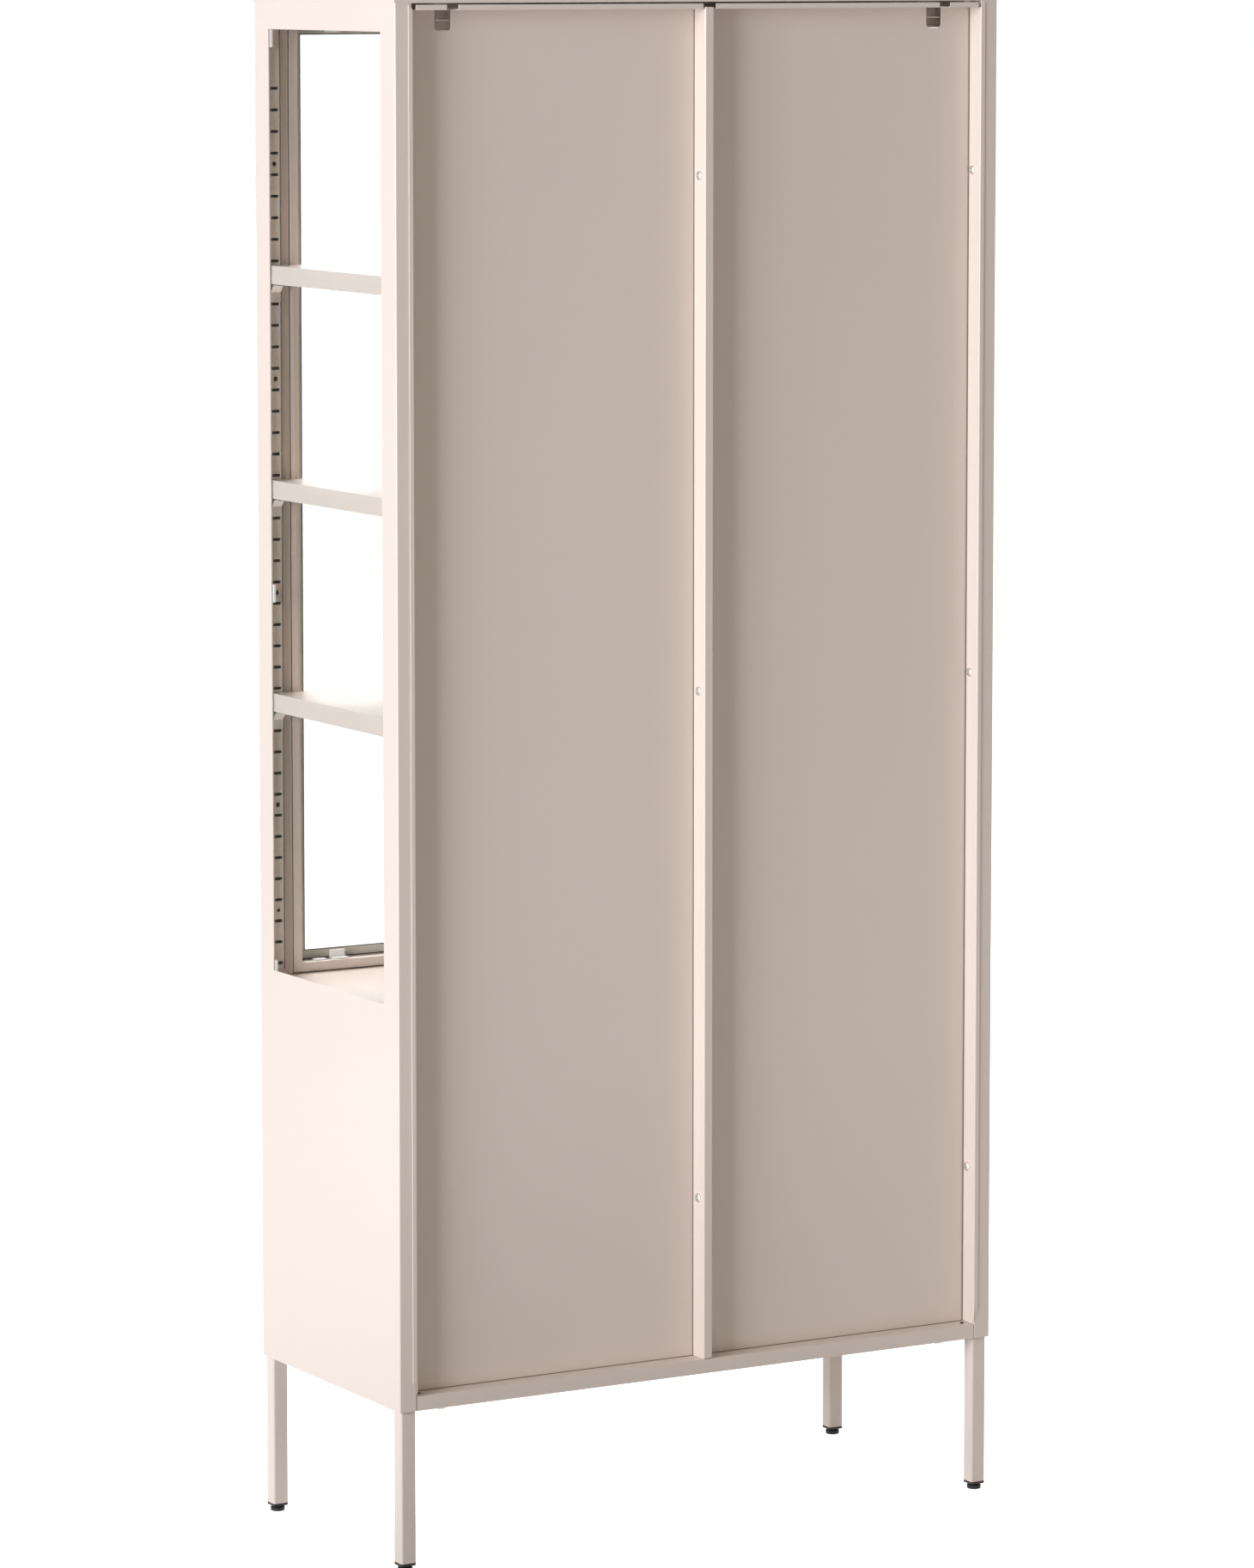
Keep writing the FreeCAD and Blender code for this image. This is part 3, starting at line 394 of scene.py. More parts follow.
def arc(centre, radius, start, end, steps):
    """Points of an arc in an outline, its angles in degrees from the radius direction."""
    angles = [math.radians(start + (end - start) * step / steps) for step in range(steps + 1)]
    return [(centre[0] + radius * math.cos(a), centre[1] + radius * math.sin(a)) for a in angles]


# %% [markdown]
# A turned piece is made standing on the origin and is then laid in place. Its place is kept in its
# mesh, and the object itself stays at the origin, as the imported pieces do. What repeats is made
# once and copied, each copy with its own mesh, and pieces of one kind are joined.

# %% Laying, copying and joining
def lay(piece, place, direction=(0, 0, 1)):
    """Turns the piece's +Z to a direction, moves it and keeps both in its mesh."""
    pick(piece)
    piece.rotation_mode = "QUATERNION"
    piece.rotation_quaternion = Vector(direction).to_track_quat("Z", "Y")
    piece.location = place
    bpy.ops.object.transform_apply(location=True, rotation=True, scale=True)
    piece.rotation_mode = "XYZ"
    return piece


def copy_of(piece, name):
    twin = piece.copy()
    twin.data = piece.data.copy()
    twin.name = name
    bpy.context.collection.objects.link(twin)
    return twin


def join(pieces, name):
    deselect()
    for piece in pieces:
        piece.select_set(True)
    bpy.context.view_layer.objects.active = pieces[0]
    bpy.ops.object.join()
    pieces[0].name = name
    return pieces[0]


# %% [markdown]
# A finished piece gets its material and is told with which body it moves, and the nodes of the
# imported model that it stands for are hidden. Shading runs smoothly over small angles only, so that round
# sides look round and edges stay crisp.

# %% Dressing a piece
def dress(piece, finish, body, *nodes, angle=35):
    """Gives a finished piece its material and its body, and hides the nodes that it stands for."""
    pick(piece)
    bpy.ops.object.shade_smooth_by_angle(angle=math.radians(angle))
    piece.data.materials.clear()
    piece.data.materials.append(finishes[finish])
    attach(piece, body)
    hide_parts(*nodes)
    return piece


# %% [markdown]
# The recess of a screw is the shape of a small cross. The cross starts as a cube, and each of its
# four sides is extruded to an arm. Arms that are there already have sides that look the same way,
# so the cube's own side is found as the one nearest to the middle line of the new arm. A boolean
# modifier then takes the cross out of the head.

# %% Tool for a cross recess
same_way = 0.9               # cosine, above which a face looks in a direction


def cut_with(piece, tool):
    """Takes the tool's shape out of the piece, then deletes the tool."""
    apply_modifier(piece, "BOOLEAN", operation="DIFFERENCE", object=tool)
    bpy.data.objects.remove(tool, do_unlink=True)


def cross_tool(span, bar, depth, top):
    """Block with four arms, from the top down by the depth."""
    deselect()
    bpy.ops.mesh.primitive_cube_add(size=1, location=(0, 0, top - depth / 2))
    tool = bpy.context.object
    tool.scale = (bar, bar, depth)
    bpy.ops.object.transform_apply(location=True, rotation=True, scale=True)
    for direction in (Vector((1, 0, 0)), Vector((-1, 0, 0)), Vector((0, 1, 0)), Vector((0, -1, 0))):
        bpy.ops.object.mode_set(mode="EDIT")
        bpy.ops.mesh.select_mode(type="FACE")
        bpy.ops.mesh.select_all(action="DESELECT")
        mesh = bmesh.from_edit_mesh(tool.data)
        facing = [face for face in mesh.faces if face.normal.dot(direction) > same_way]
        block_side = min(facing, key=lambda face: face.calc_center_median().cross(direction).length)
        block_side.select = True
        bmesh.update_edit_mesh(tool.data)
        reach = direction * (span - bar) / 2
        bpy.ops.mesh.extrude_region_move(TRANSFORM_OT_translate={"value": tuple(reach)})
        bpy.ops.object.mode_set(mode="OBJECT")
    return tool


# %% [markdown]
# The screws of the back have low domed heads. A part of a ball would be too tall for their width,
# so the dome is a quarter of an oval in the outline, above a short straight rim. Only the head
# shows, but the shank is there as well, with a short taper at its end.

# %% Screw with a cross recess
sheet = 0.001
dome_steps = 8
quarter_turn = 90            # degrees
tip_share = 0.7              # of the shank's radius
tip_length_share = 0.4       # of the shank's radius
under_head_share = 0.97      # of the head's radius
dome_share = 0.55            # of the head's radius
lower_edge_share = 0.08      # of the head's height
rim_share = 0.35             # of the head's height
recess_depth_share = 0.7     # of the head's height
recess_bar_share = 0.26      # of the recess's span
over_top = 0.0001
screw_head = 0.0105


def dome(radius, run, low, rise):
    """Quarter of an oval in an outline: from the radius inwards by the run, and up by the rise."""
    turns = [math.radians(quarter_turn * step / dome_steps) for step in range(1, dome_steps + 1)]
    return [(radius - run * (1 - math.cos(turn)), low + rise * math.sin(turn)) for turn in turns]


def domed_screw(name, head_radius, head_height, shank_radius, length, recess_span):
    """Screw along Z: its head rises from 0, its shank goes down."""
    rim = head_height * rim_share
    outline = [(shank_radius * tip_share, -length), (shank_radius, -length + shank_radius * tip_length_share),
               (shank_radius, 0), (head_radius * under_head_share, 0),
               (head_radius, head_height * lower_edge_share), (head_radius, rim)]
    outline += dome(head_radius, head_radius * dome_share, rim, head_height - rim)
    screw = turned(name, outline)
    cut_with(screw, cross_tool(recess_span, recess_span * recess_bar_share, head_height * recess_depth_share,
                               head_height + over_top))
    return screw


pan_screw = domed_screw("pan_screw", head_radius=screw_head / 2, head_height=0.0026, shank_radius=0.002,
                        length=2 * sheet, recess_span=0.0058)
print("screw faces:", len(pan_screw.data.polygons))

# %% [markdown]
# Twelve of these screws hold the back: three in each outer flank and three on each side of the
# strut. Their places follow from the boxes of the pans, the strut and the side walls.

# %% Screws of the back
wall_low, wall_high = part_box("side_panel_right")
first_screw = 0.207
last_screw_drop = 0.199
low_level = wall_low.z + first_screw
high_level = wall_high.z - last_screw_drop
levels = (low_level, (low_level + high_level) / 2, high_level)
lip_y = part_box("back_strut")[1].y
flank_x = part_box("back_screws")[1].x - 2 * sheet
strut_low, strut_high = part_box("back_strut")
pan_screw_depth = 0.016
strut_screw_depth = 0.0125

heads = []
for level in levels:
    for x, depth, side in ((flank_x, pan_screw_depth, -1), (-flank_x, pan_screw_depth, 1),
                           (strut_high.x, strut_screw_depth, 1), (strut_low.x, strut_screw_depth, -1)):
        heads.append(lay(copy_of(pan_screw, "head"), (x, lip_y - depth, level), (side, 0, 0)))
bpy.data.objects.remove(pan_screw, do_unlink=True)
dress(join(heads, "back_screw_heads"), "zinc", "carcass", "back_screws")
print("back screws:", len(levels) * 4)

# %% [markdown]
# The legs hang on round-headed bolts with a hexagon socket. Only the heads show, below the edge
# of the cabinet, but the nuts on top of the folded edge are there as well. Both are turned too: a
# nut is a turned piece with six sides, and the socket is cut by such a piece.

# %% Socket bolt with its nut
bolt_head = 0.012
bolt_head_height = 0.004
bolt_low, bolt_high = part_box("leg_bolts")
bolt_length = bolt_high.z - bolt_low.z - bolt_head_height
bolt_shank = 0.003
bolt_tip_share = 0.8         # of the shank
bolt_rim_share = 0.2         # of the head's height
bolt_dome_share = 0.65       # of the head's radius
socket_radius = 0.0022
socket_shares = (0.35, 1.1)  # of the head's height
leg_plate = 0.002
nut_height = 0.005
nut_width = 0.010
nut_chamfer = 0.0007


def prism(name, radius, low, high, sides):
    """Straight bar with flat sides along Z."""
    return turned(name, [(radius, low), (radius, high)], sides)


def socket_bolt():
    """Bolt whose head rises from 0: a flat rim, a dome, and a hexagon socket in its top."""
    radius = bolt_head / 2
    rim = bolt_head_height * bolt_rim_share
    outline = [(bolt_shank * bolt_tip_share, -bolt_length),
               (bolt_shank, -bolt_length + bolt_shank * (1 - bolt_tip_share)), (bolt_shank, 0), (radius, 0),
               (radius, rim)]
    outline += dome(radius, radius * bolt_dome_share, rim, bolt_head_height - rim)
    bolt = turned("bolt", outline)
    socket_low, socket_high = (bolt_head_height * share for share in socket_shares)
    cut_with(bolt, prism("socket", socket_radius, socket_low, socket_high, 6))
    low = -(leg_plate + sheet + nut_height)
    high = low + nut_height
    corner = nut_width / math.sqrt(3)
    nut = turned("nut", [(corner - nut_chamfer, low), (corner, low + nut_chamfer / 2),
                         (corner, high - nut_chamfer / 2), (corner - nut_chamfer, high)], 6)
    return join([bolt, nut], "bolt")


bolt = socket_bolt()
print("bolt faces:", len(bolt.data.polygons))

# %% [markdown]
# Each leg has two bolts, one towards the middle of the side and one towards the middle of the
# cabinet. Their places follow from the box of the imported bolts, and one bolt is copied to all.

# %% Bolts of the legs
near = bolt_high.x - bolt_head / 2
bolt_step = 0.045
front = bolt_low.y + bolt_head / 2
rear = bolt_high.y - bolt_head / 2
bolts = []
for side in (1, -1):
    for x, y in ((near, front + bolt_step), (near - bolt_step, front), (near, rear - bolt_step),
                 (near - bolt_step, rear)):
        place = (side * x, y, bolt_low.z + bolt_head_height)
        bolts.append(lay(copy_of(bolt, "bolt_copy"), place, (0, 0, -1)))
bpy.data.objects.remove(bolt, do_unlink=True)
dress(join(bolts, "leg_bolts_and_nuts"), "zinc", "carcass", "leg_bolts")
print("leg bolts:", len(bolts))

# %% [markdown]
# A knob is a small turned piece: a foot that lies on the door, a hollowed neck and a rounded
# head. The neck is a parabola in the outline, and the head has two arcs, so a few numbers give the
# whole shape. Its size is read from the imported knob.

# %% Shape of a knob
knob_low, knob_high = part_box("upper_knob_right")
knob_radius = (knob_high.x - knob_low.x) / 2
knob_length = knob_high.y - knob_low.y
knob_foot_share = 0.58       # of the knob's radius
knob_neck_share = 0.42       # of the knob's radius
knob_rim_share = 0.2         # of the knob's radius
knob_face_share = 0.3        # of the knob's radius
under_rim_share = 1.6        # of the rim
foot_height_share = 0.06     # of the knob's length
head_low_share = 0.5         # of the knob's length
neck_steps = 9
arc_steps = 6
knob_sides = 48


def round_knob():
    """Knob along Z: its foot lies at 0."""
    foot = knob_radius * knob_foot_share
    neck = knob_radius * knob_neck_share
    rim = knob_radius * knob_rim_share
    under_rim = rim * under_rim_share
    foot_high = knob_length * foot_height_share
    head_low = knob_length * head_low_share
    outline = [(foot, 0), (foot, foot_high)]
    for step in range(1, neck_steps + 1):
        share = step / neck_steps
        narrow = neck + (foot - neck) * (2 * share - 1) ** 2
        outline.append((narrow, foot_high + (head_low - foot_high) * share))
    outline += arc((knob_radius - under_rim, head_low + under_rim), under_rim, -quarter_turn, 0, arc_steps)
    outline += arc((knob_radius - rim, knob_length - rim), rim, 0, quarter_turn, arc_steps)
    outline.append((knob_radius * knob_face_share, knob_length))
    return turned("knob", outline, knob_sides)


master = round_knob()
print("knob faces:", len(master.data.polygons))

# %% [markdown]
# Each door has one knob, held by a screw from inside. Knob and screw are made once, and each door
# gets a copy of both, which swings with it.

# %% Knobs and their screws
knob_screw_head_height = 0.0025

screw_master = domed_screw("knob_screw", head_radius=0.004, head_height=knob_screw_head_height,
                           shank_radius=0.00195, length=0.0085, recess_span=0.0046)
for level in ("upper", "lower"):
    for side in ("right", "left"):
        body = "%s_door_%s" % (level, side)
        low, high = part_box("%s_knob_%s" % (level, side))
        centre = (low + high) / 2
        knob = lay(copy_of(master, "round_knob_%s_%s" % (level, side)), (centre.x, high.y, centre.z),
                   (0, -1, 0))
        dress(knob, "painted_knob", body, "%s_knob_%s" % (level, side))
        low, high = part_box("%s_knob_screw_%s" % (level, side))
        seat_y = high.y - knob_screw_head_height
        screw = lay(copy_of(screw_master, "knob_fixing_%s_%s" % (level, side)), (centre.x, seat_y, centre.z),
                    (0, 1, 0))
        dress(screw, "zinc", body, "%s_knob_screw_%s" % (level, side))
bpy.data.objects.remove(master, do_unlink=True)
bpy.data.objects.remove(screw_master, do_unlink=True)

# %% [markdown]
# A levelling foot is a moulded pad on a threaded stud. The thread shows only when the foot is
# screwed out, so it is drawn as rings: the outline goes out and in once for each turn.

# %% Levelling feet
stud_radius = 0.004
thread_pitch = 0.00125
thread_depth = 0.0006
pad_height = 0.007
pad_edge = 0.0014
pad_bevel = 0.0004
pad_shoulder = 0.0006
collar_share = 0.72                      # of the pad's radius
pad_shares = (0.62, 0.7, 0.78, 0.95)     # of the pad's height


def threaded_foot(pad_radius, total_height):
    """Foot along Z: its pad lies at 0, and its stud ends at the total height."""
    collar = pad_radius * collar_share
    side_top, shoulder_top, collar_low, collar_top = (pad_height * share for share in pad_shares)
    outline = [(pad_radius - pad_edge, 0), (pad_radius - pad_bevel, pad_bevel), (pad_radius, pad_edge),
               (pad_radius, side_top), (pad_radius - pad_shoulder, shoulder_top), (collar, collar_low),
               (collar, collar_top), (collar - pad_bevel, pad_height),
               (stud_radius - thread_depth, pad_height)]
    height = pad_height + thread_pitch / 2
    while height + thread_pitch < total_height:
        outline += [(stud_radius, height), (stud_radius - thread_depth, height + thread_pitch / 2)]
        height += thread_pitch
    outline.append((stud_radius - 2 * thread_depth, total_height))
    return turned("foot", outline)


for corner in ("front_right", "front_left", "rear_right", "rear_left"):
    low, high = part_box("foot_" + corner)
    centre = (low + high) / 2
    foot = threaded_foot((high.x - low.x) / 2, high.z - low.z)
    foot.name = "levelling_foot_" + corner
    lay(foot, (centre.x, centre.y, low.z))
    dress(foot, "black_plastic", "foot_" + corner, "foot_" + corner)

# %% [markdown]
# A folded sheet could be built of boxes, but they would leave a seam at each fold. Instead, a strip
# is drawn out edge by edge through the corners of its section, then given its thickness and its
# rounded edges by modifiers.

# %% Folded strips
end_share = 0.01             # of a strip's first side: how near a corner lies to its end
strip_edge_share = 0.3       # of a strip's thickness


def folded_strip(name, corners, x_low, x_high, thickness):
    """Sheet folded along X through the (y, z) corners of its middle."""
    deselect()
    (y0, z0), (y1, z1) = corners[:2]
    reach = math.hypot(y1 - y0, z1 - z0)
    bpy.ops.mesh.primitive_plane_add(size=1, location=((x_low + x_high) / 2, (y0 + y1) / 2, (z0 + z1) / 2),
                                     rotation=(math.atan2(z1 - z0, y1 - y0), 0, 0))
    strip = bpy.context.object
    strip.name = name
    strip.scale = (x_high - x_low, reach, 1)
    bpy.ops.object.transform_apply(location=True, rotation=True, scale=True)
    bpy.ops.object.mode_set(mode="EDIT")
    bpy.ops.mesh.select_mode(type="EDGE")
    bpy.ops.mesh.select_all(action="DESELECT")
    mesh = bmesh.from_edit_mesh(strip.data)
    far = Vector((0, y1, z1))
    for edge in mesh.edges:
        ends = [(corner.co - Vector((corner.co.x, 0, 0)) - far).length for corner in edge.verts]
        edge.select = max(ends) < reach * end_share
    bmesh.update_edit_mesh(strip.data)
    for (ya, za), (yb, zb) in zip(corners[1:], corners[2:]):
        bpy.ops.mesh.extrude_region_move(TRANSFORM_OT_translate={"value": (0, yb - ya, zb - za)})
    bpy.ops.mesh.select_all(action="SELECT")
    bpy.ops.mesh.normals_make_consistent(inside=False)
    bpy.ops.object.mode_set(mode="OBJECT")
    apply_modifier(strip, "SOLIDIFY", thickness=thickness, offset=0)
    apply_modifier(strip, "BEVEL", width=thickness * strip_edge_share, segments=2, limit_method="ANGLE")
    return strip


# %% [markdown]
# A folded rail runs along the top, in front of the back. It closes the space under the top panel,
# so the gap over the lips of the back looks dark. Its ends stop a little short of the uprights.

# %% Top rail
rail_gap = 0.0105
rail_drop = 0.029
rail_under_top = 0.0016
rail_end_gap = 0.002
rail_return = 0.010

pan_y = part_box("back_pan_right")[0].y
pan_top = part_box("back_pan_right")[1].z
rail_front = pan_y - rail_gap
rail_low = pan_top - rail_drop
rail_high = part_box("top_panel")[1].z - rail_under_top
rail_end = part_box("upright_rear_right")[0].x - rail_end_gap
rail = folded_strip("top_rail", [(pan_y - sheet, rail_low), (rail_front, rail_low), (rail_front, rail_high),
                                 (rail_front + rail_return, rail_high)], -rail_end, rail_end, sheet)
dress(rail, "painted_sheet", "carcass")
print("rail faces:", len(rail.data.polygons))

# %% [markdown]
# The rail carries two angles for the wall straps, whose edges show in the cut-outs of the back. Each
# is a folded strip too, with a round hole that a short bar cuts through it.

# %% Wall angles
angle_inset = 0.073
angle_drop = 0.0175
angle_height = 0.011
angle_width = 0.018
angle_sheet = 0.0012
angle_gap = 0.0006
hole_radius = 0.0025
hole_reach = 0.003
hole_setback = 0.0062


angle_x = wall_high.x - angle_inset
angle_low = pan_top - angle_drop
angle_y = rail_front + angle_sheet
angle_corners = [(angle_y, angle_low + angle_height), (angle_y, angle_low), (pan_y - angle_gap, angle_low)]
angles = []
for side in (1, -1):
    x = side * angle_x
    angle = folded_strip("wall_angle", angle_corners, x - angle_width / 2, x + angle_width / 2, angle_sheet)
    hole = prism("hole", hole_radius, -hole_reach, hole_reach, 24)
    lay(hole, (x, pan_y - hole_setback, angle_low))
    cut_with(angle, hole)
    angles.append(angle)
dress(join(angles, "wall_angles"), "painted_sheet", "carcass")
print("wall angles:", len(angles))

# %% [markdown]
# Thin dark lines lie in the corners of the back, where a pan meets its flank, the strut and the ledge:
# they are painted shade for the shadow in these corners. A low plug closes the drain hole at each end of the
# ledge.

# %% Painted corner shade and drain plugs
line_sides = 8
seam = 0.0008
seam_drop = 0.007
thin_share = 0.7             # of the seam, for the lines beside the strut and on the ledge
centre_share = 0.7           # of a line's radius: how far its middle lies from the corner
ledge_out_share = 0.5        # of the seam
ledge_up_share = 0.3         # of the seam
plug_radius = 0.0022
plug_stem_share = 0.5        # of the plug's radius
plug_shares = [(0.5, 0), (1, 0), (1, 0.25), (0.8, 0.5), (0.3, 0.6)]   # of the plug's radius
plug_inset = 0.031
plug_depth = 0.0125

ledge_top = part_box("bottom_panel")[1].z
pan_face = pan_y + sheet
lines = []
for x, inwards, radius in ((flank_x, -1, seam), (-flank_x, 1, seam), (strut_high.x, 1, seam * thin_share),
                           (strut_low.x, -1, seam * thin_share)):
    line = prism("line", radius, ledge_top + sheet, pan_top - seam_drop, line_sides)
    lines.append(lay(line, (x + inwards * radius * centre_share, pan_face + radius * centre_share, 0)))
for start, end in ((strut_high.x + sheet, flank_x - sheet), (sheet - flank_x, strut_low.x - sheet)):
    line = prism("line", seam * thin_share, start, end, line_sides)
    corner = (0, pan_face + seam * ledge_out_share, ledge_top + seam * ledge_up_share)
    lines.append(lay(line, corner, (1, 0, 0)))
# These lines are painted shade, dark where the sheets of the back meet in a corner.
dress(join(lines, "back_corner_shade_lines"), "painted_shade_line", "carcass")

plug_outline = [(plug_radius * plug_stem_share, -sheet)]
plug_outline += [(plug_radius * across, plug_radius * up) for across, up in plug_shares]
plug = turned("plug", plug_outline)
plug_x = wall_high.x - plug_inset
plug_y = lip_y - sheet - plug_depth
plugs = [lay(copy_of(plug, "plug_copy"), (side * plug_x, plug_y, ledge_top)) for side in (1, -1)]
bpy.data.objects.remove(plug, do_unlink=True)
dress(join(plugs, "drain_plugs"), "black_plastic", "carcass")
print("sealant lines:", len(lines))

# %% [markdown]
# The dark rings round a pane, which are painted shade, run in one piece. Four bars would meet in seams
# at the corners, so a plane as large as the outline is inset by the width, its middle is deleted, and the
# ring that is left is extruded to its depth and gets a small bevel.

# %% Ring round a pane
ring_edge_share = 1 / 6      # of a ring's depth


def pane_ring(name, low, high, y, width, depth):
    """Ring of a rectangular section that lies inside the outline from low to high."""
    deselect()
    bpy.ops.mesh.primitive_plane_add(size=1, location=((low.x + high.x) / 2, y, (low.z + high.z) / 2),
                                     rotation=(math.radians(90), 0, 0))
    ring = bpy.context.object
    ring.scale = (high.x - low.x, high.z - low.z, 1)
    bpy.ops.object.transform_apply(location=True, rotation=True, scale=True)
    bpy.ops.object.mode_set(mode="EDIT")
    bpy.ops.mesh.select_mode(type="FACE")
    bpy.ops.mesh.select_all(action="SELECT")
    bpy.ops.mesh.inset(thickness=width, depth=0)
    bpy.ops.mesh.delete(type="FACE")
    bpy.ops.mesh.select_all(action="SELECT")
    bpy.ops.mesh.extrude_region_move(TRANSFORM_OT_translate={"value": (0, depth, 0)})
    bpy.ops.mesh.select_all(action="SELECT")
    bpy.ops.mesh.normals_make_consistent(inside=False)
    bpy.ops.object.mode_set(mode="OBJECT")
    apply_modifier(ring, "BEVEL", width=depth * ring_edge_share, segments=2, limit_method="ANGLE")
    ring.name = name
    return ring


# %% [markdown]
# Each glazed door has a dark bead in the corner between its pane and its frame, and a dark ring
# between pane and front sheet that shows round the window: both are painted shade for the narrow gaps
# there. The plastic clips have a short tail that lies on the rail beside them.

# %% Painted shade round the panes, and clip tails
bead = 0.0013
bead_depth = 0.0012
shade_ring_width = 0.0014
shade_ring_depth = 0.0007
frame_width = 0.035
clip_width = 0.020
tail_gap = 0.008
tail_length = 0.016
tail_sheet = 0.0018
tail_middle = 0.007
tail_reach = 0.0105

for side, sign in (("right", 1), ("left", -1)):
    door = "upper_door_" + side
    low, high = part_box("door_glass_" + side)
    # Painted shade: a black ring in the corner where the pane meets its frame.
    dress(pane_ring("pane_shade_bead_" + side, low, high, high.y, bead, bead_depth), "black_plastic", door)
    door_low, door_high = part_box(door)
    border = Vector((frame_width, 0, frame_width))
    # Painted shade: a dark ring round the window, between the pane and the front sheet.
    shaded_window_ring = pane_ring("window_shade_ring_" + side, door_low + border, door_high - border, low.y - shade_ring_depth, shade_ring_width,
                      shade_ring_depth)
    dress(shaded_window_ring, "painted_shade_line", door)

    clip_low, clip_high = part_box("door_glass_clips_" + side)
    inner, outer = sorted((abs(clip_low.x), abs(clip_high.x)))
    tails = []
    for z in (clip_low.z + tail_sheet / 2, clip_high.z - tail_sheet / 2):
        for clip_end in (outer, inner + clip_width):
            start = sign * (clip_end + tail_gap)
            end = start + sign * tail_length
            corners = [(high.y + bead_depth, z), (high.y + tail_middle, z), (high.y + tail_reach, z)]
            tails.append(folded_strip("tail", corners, min(start, end), max(start, end), tail_sheet))
    dress(join(tails, "clip_tails_" + side), "clip_plastic", door)

# %% [markdown]
# Bent strips, mouldings and folded trays have no knife edges: the tools leave them a little round,
# and light catches there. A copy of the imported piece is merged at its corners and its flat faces
# are joined again, then a small bevel rounds every edge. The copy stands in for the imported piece.

# %% Softened edges
same_point = 0.00001
level_angle = 1              # degrees, between faces that are joined
fold_angle = 40              # degrees, between faces whose edge is made round
flat_angle = 10              # degrees, up to which the finish runs smoothly over an edge


def merged_copy(node, name):
    """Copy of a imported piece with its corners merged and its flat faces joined."""
    piece = copy_of(frame["nodes"][node], name)
    pick(piece)
    bpy.ops.object.mode_set(mode="EDIT")
    bpy.ops.mesh.select_all(action="SELECT")
    bpy.ops.mesh.remove_doubles(threshold=same_point)
    bpy.ops.mesh.dissolve_limited(angle_limit=math.radians(level_angle))
    bpy.ops.mesh.normals_make_consistent(inside=False)
    bpy.ops.object.mode_set(mode="OBJECT")
    return piece


body_of = {node: body for body, nodes in frame["record"]["behaviour"]["bodies"].items() for node in nodes}
slot_of = {part["node"]: part["material_slot"] for part in frame["record"]["subparts"]}
levels_of_shelves = ("upper", "middle", "lower", "base")
soft_edges = [(0.00035, ["shelf_clips_" + level for level in levels_of_shelves]),
              (0.0004, ["side_glass_clips_right", "side_glass_clips_left", "door_glass_clips_right",
                        "door_glass_clips_left"]),
              (0.0003, ["shelf_" + level for level in levels_of_shelves])]
for width, soft_nodes in soft_edges:
    for node in soft_nodes:
        piece = merged_copy(node, "soft_" + node)
        apply_modifier(piece, "BEVEL", width=width, segments=2, limit_method="ANGLE",
                       angle_limit=math.radians(fold_angle))
        dress(piece, slot_of[node], body_of[node], node, angle=flat_angle)
        print(node, "faces:", len(piece.data.polygons))

# %% [markdown]
# The frames of the glazed doors are bent boxes. The long edges of their inner side are round, which
# draws a fine line beside the pane. A dark edging on each front upright is painted shade: it darkens
# the gap beside the doors, where shade falls.

# %% Round frame edges and painted shade in the door gaps
bend_radius = 0.0013
edging_radius = 0.0011
edging_inset = 0.020
on_face = 0.0001
long_edge = 0.2

edgings = []
for side in ("right", "left"):
    node = "upper_door_" + side
    door_low, door_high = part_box(node)
    piece = merged_copy(node, "rounded_" + node)
    weights = piece.data.attributes.new("bevel_weight_edge", "FLOAT", "EDGE")
    rounded = 0
    for edge in piece.data.edges:
        ends = [piece.data.vertices[corner].co for corner in edge.vertices]
        if min(end.y for end in ends) > door_high.y - on_face and (ends[0] - ends[1]).length > long_edge:
            weights.data[edge.index].value = 1.0
            rounded += 1
    apply_modifier(piece, "BEVEL", width=bend_radius, segments=3, limit_method="WEIGHT")
    dress(piece, slot_of[node], body_of[node], node, angle=flat_angle)
    print(node, "edges rounded:", rounded)

    upright_low, upright_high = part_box("upright_front_" + side)
    # The edging is painted shade: a dark bar along the gap beside the door.
    edging = prism("edging", edging_radius, door_low.z + edging_inset, door_high.z - edging_inset, line_sides)
    free_edge = min(upright_low.x, upright_high.x, key=abs)
    edgings.append(lay(edging, (free_edge, upright_high.y - sheet / 2, 0)))
dress(join(edgings, "door_gap_shade_bars"), "painted_shade_line", "carcass")

# %% [markdown]
# The slots of the uprights are pressed out, which draws their long edges apart. On a merged copy
# of each upright, the corners of every slot are moved up or down. The slots come in two rows, one
# above the mid floor and one below it.

# %% Pressed slots
pressed_height = 0.0034
slot_height = 0.0025
slot_pitch = 0.025
upper_row_height = 0.4725    # of the middle of its first slot, above the wall's lower edge
lower_row_height = 0.1725
slot_reach = (0.0083, 0.0187)            # of a slot's ends, from the wall
upper_row = wall_low.z + upper_row_height
lower_row = wall_low.z + lower_row_height
slot_outer, slot_inner = (wall_high.x - reach for reach in slot_reach)
stretch = (pressed_height - slot_height) / 2

for corner in ("front_right", "front_left", "rear_right", "rear_left"):
    node = "upright_" + corner
    piece = merged_copy(node, "pressed_" + node)
    moved = 0
    for point in piece.data.vertices:
        first = upper_row if point.co.z > upper_row - slot_pitch / 2 else lower_row
        away = point.co.z - first - round((point.co.z - first) / slot_pitch) * slot_pitch
        if slot_inner < abs(point.co.x) < slot_outer and abs(abs(away) - slot_height / 2) < on_face:
            point.co.z += math.copysign(stretch, away)
            moved += 1
    dress(piece, slot_of[node], body_of[node], node)
    print(node, "corners moved:", moved)

# %% [markdown]
# The floor is a wide white sheet. It reflects light like paper, and adds just enough white to
# what the camera sees to meet the white of the world, so the horizon disappears while the soft
# shadow under the cabinet stays.

# %% Floor
floor_size = 60
paper_colour = (0.5, 0.5, 0.5, 1)

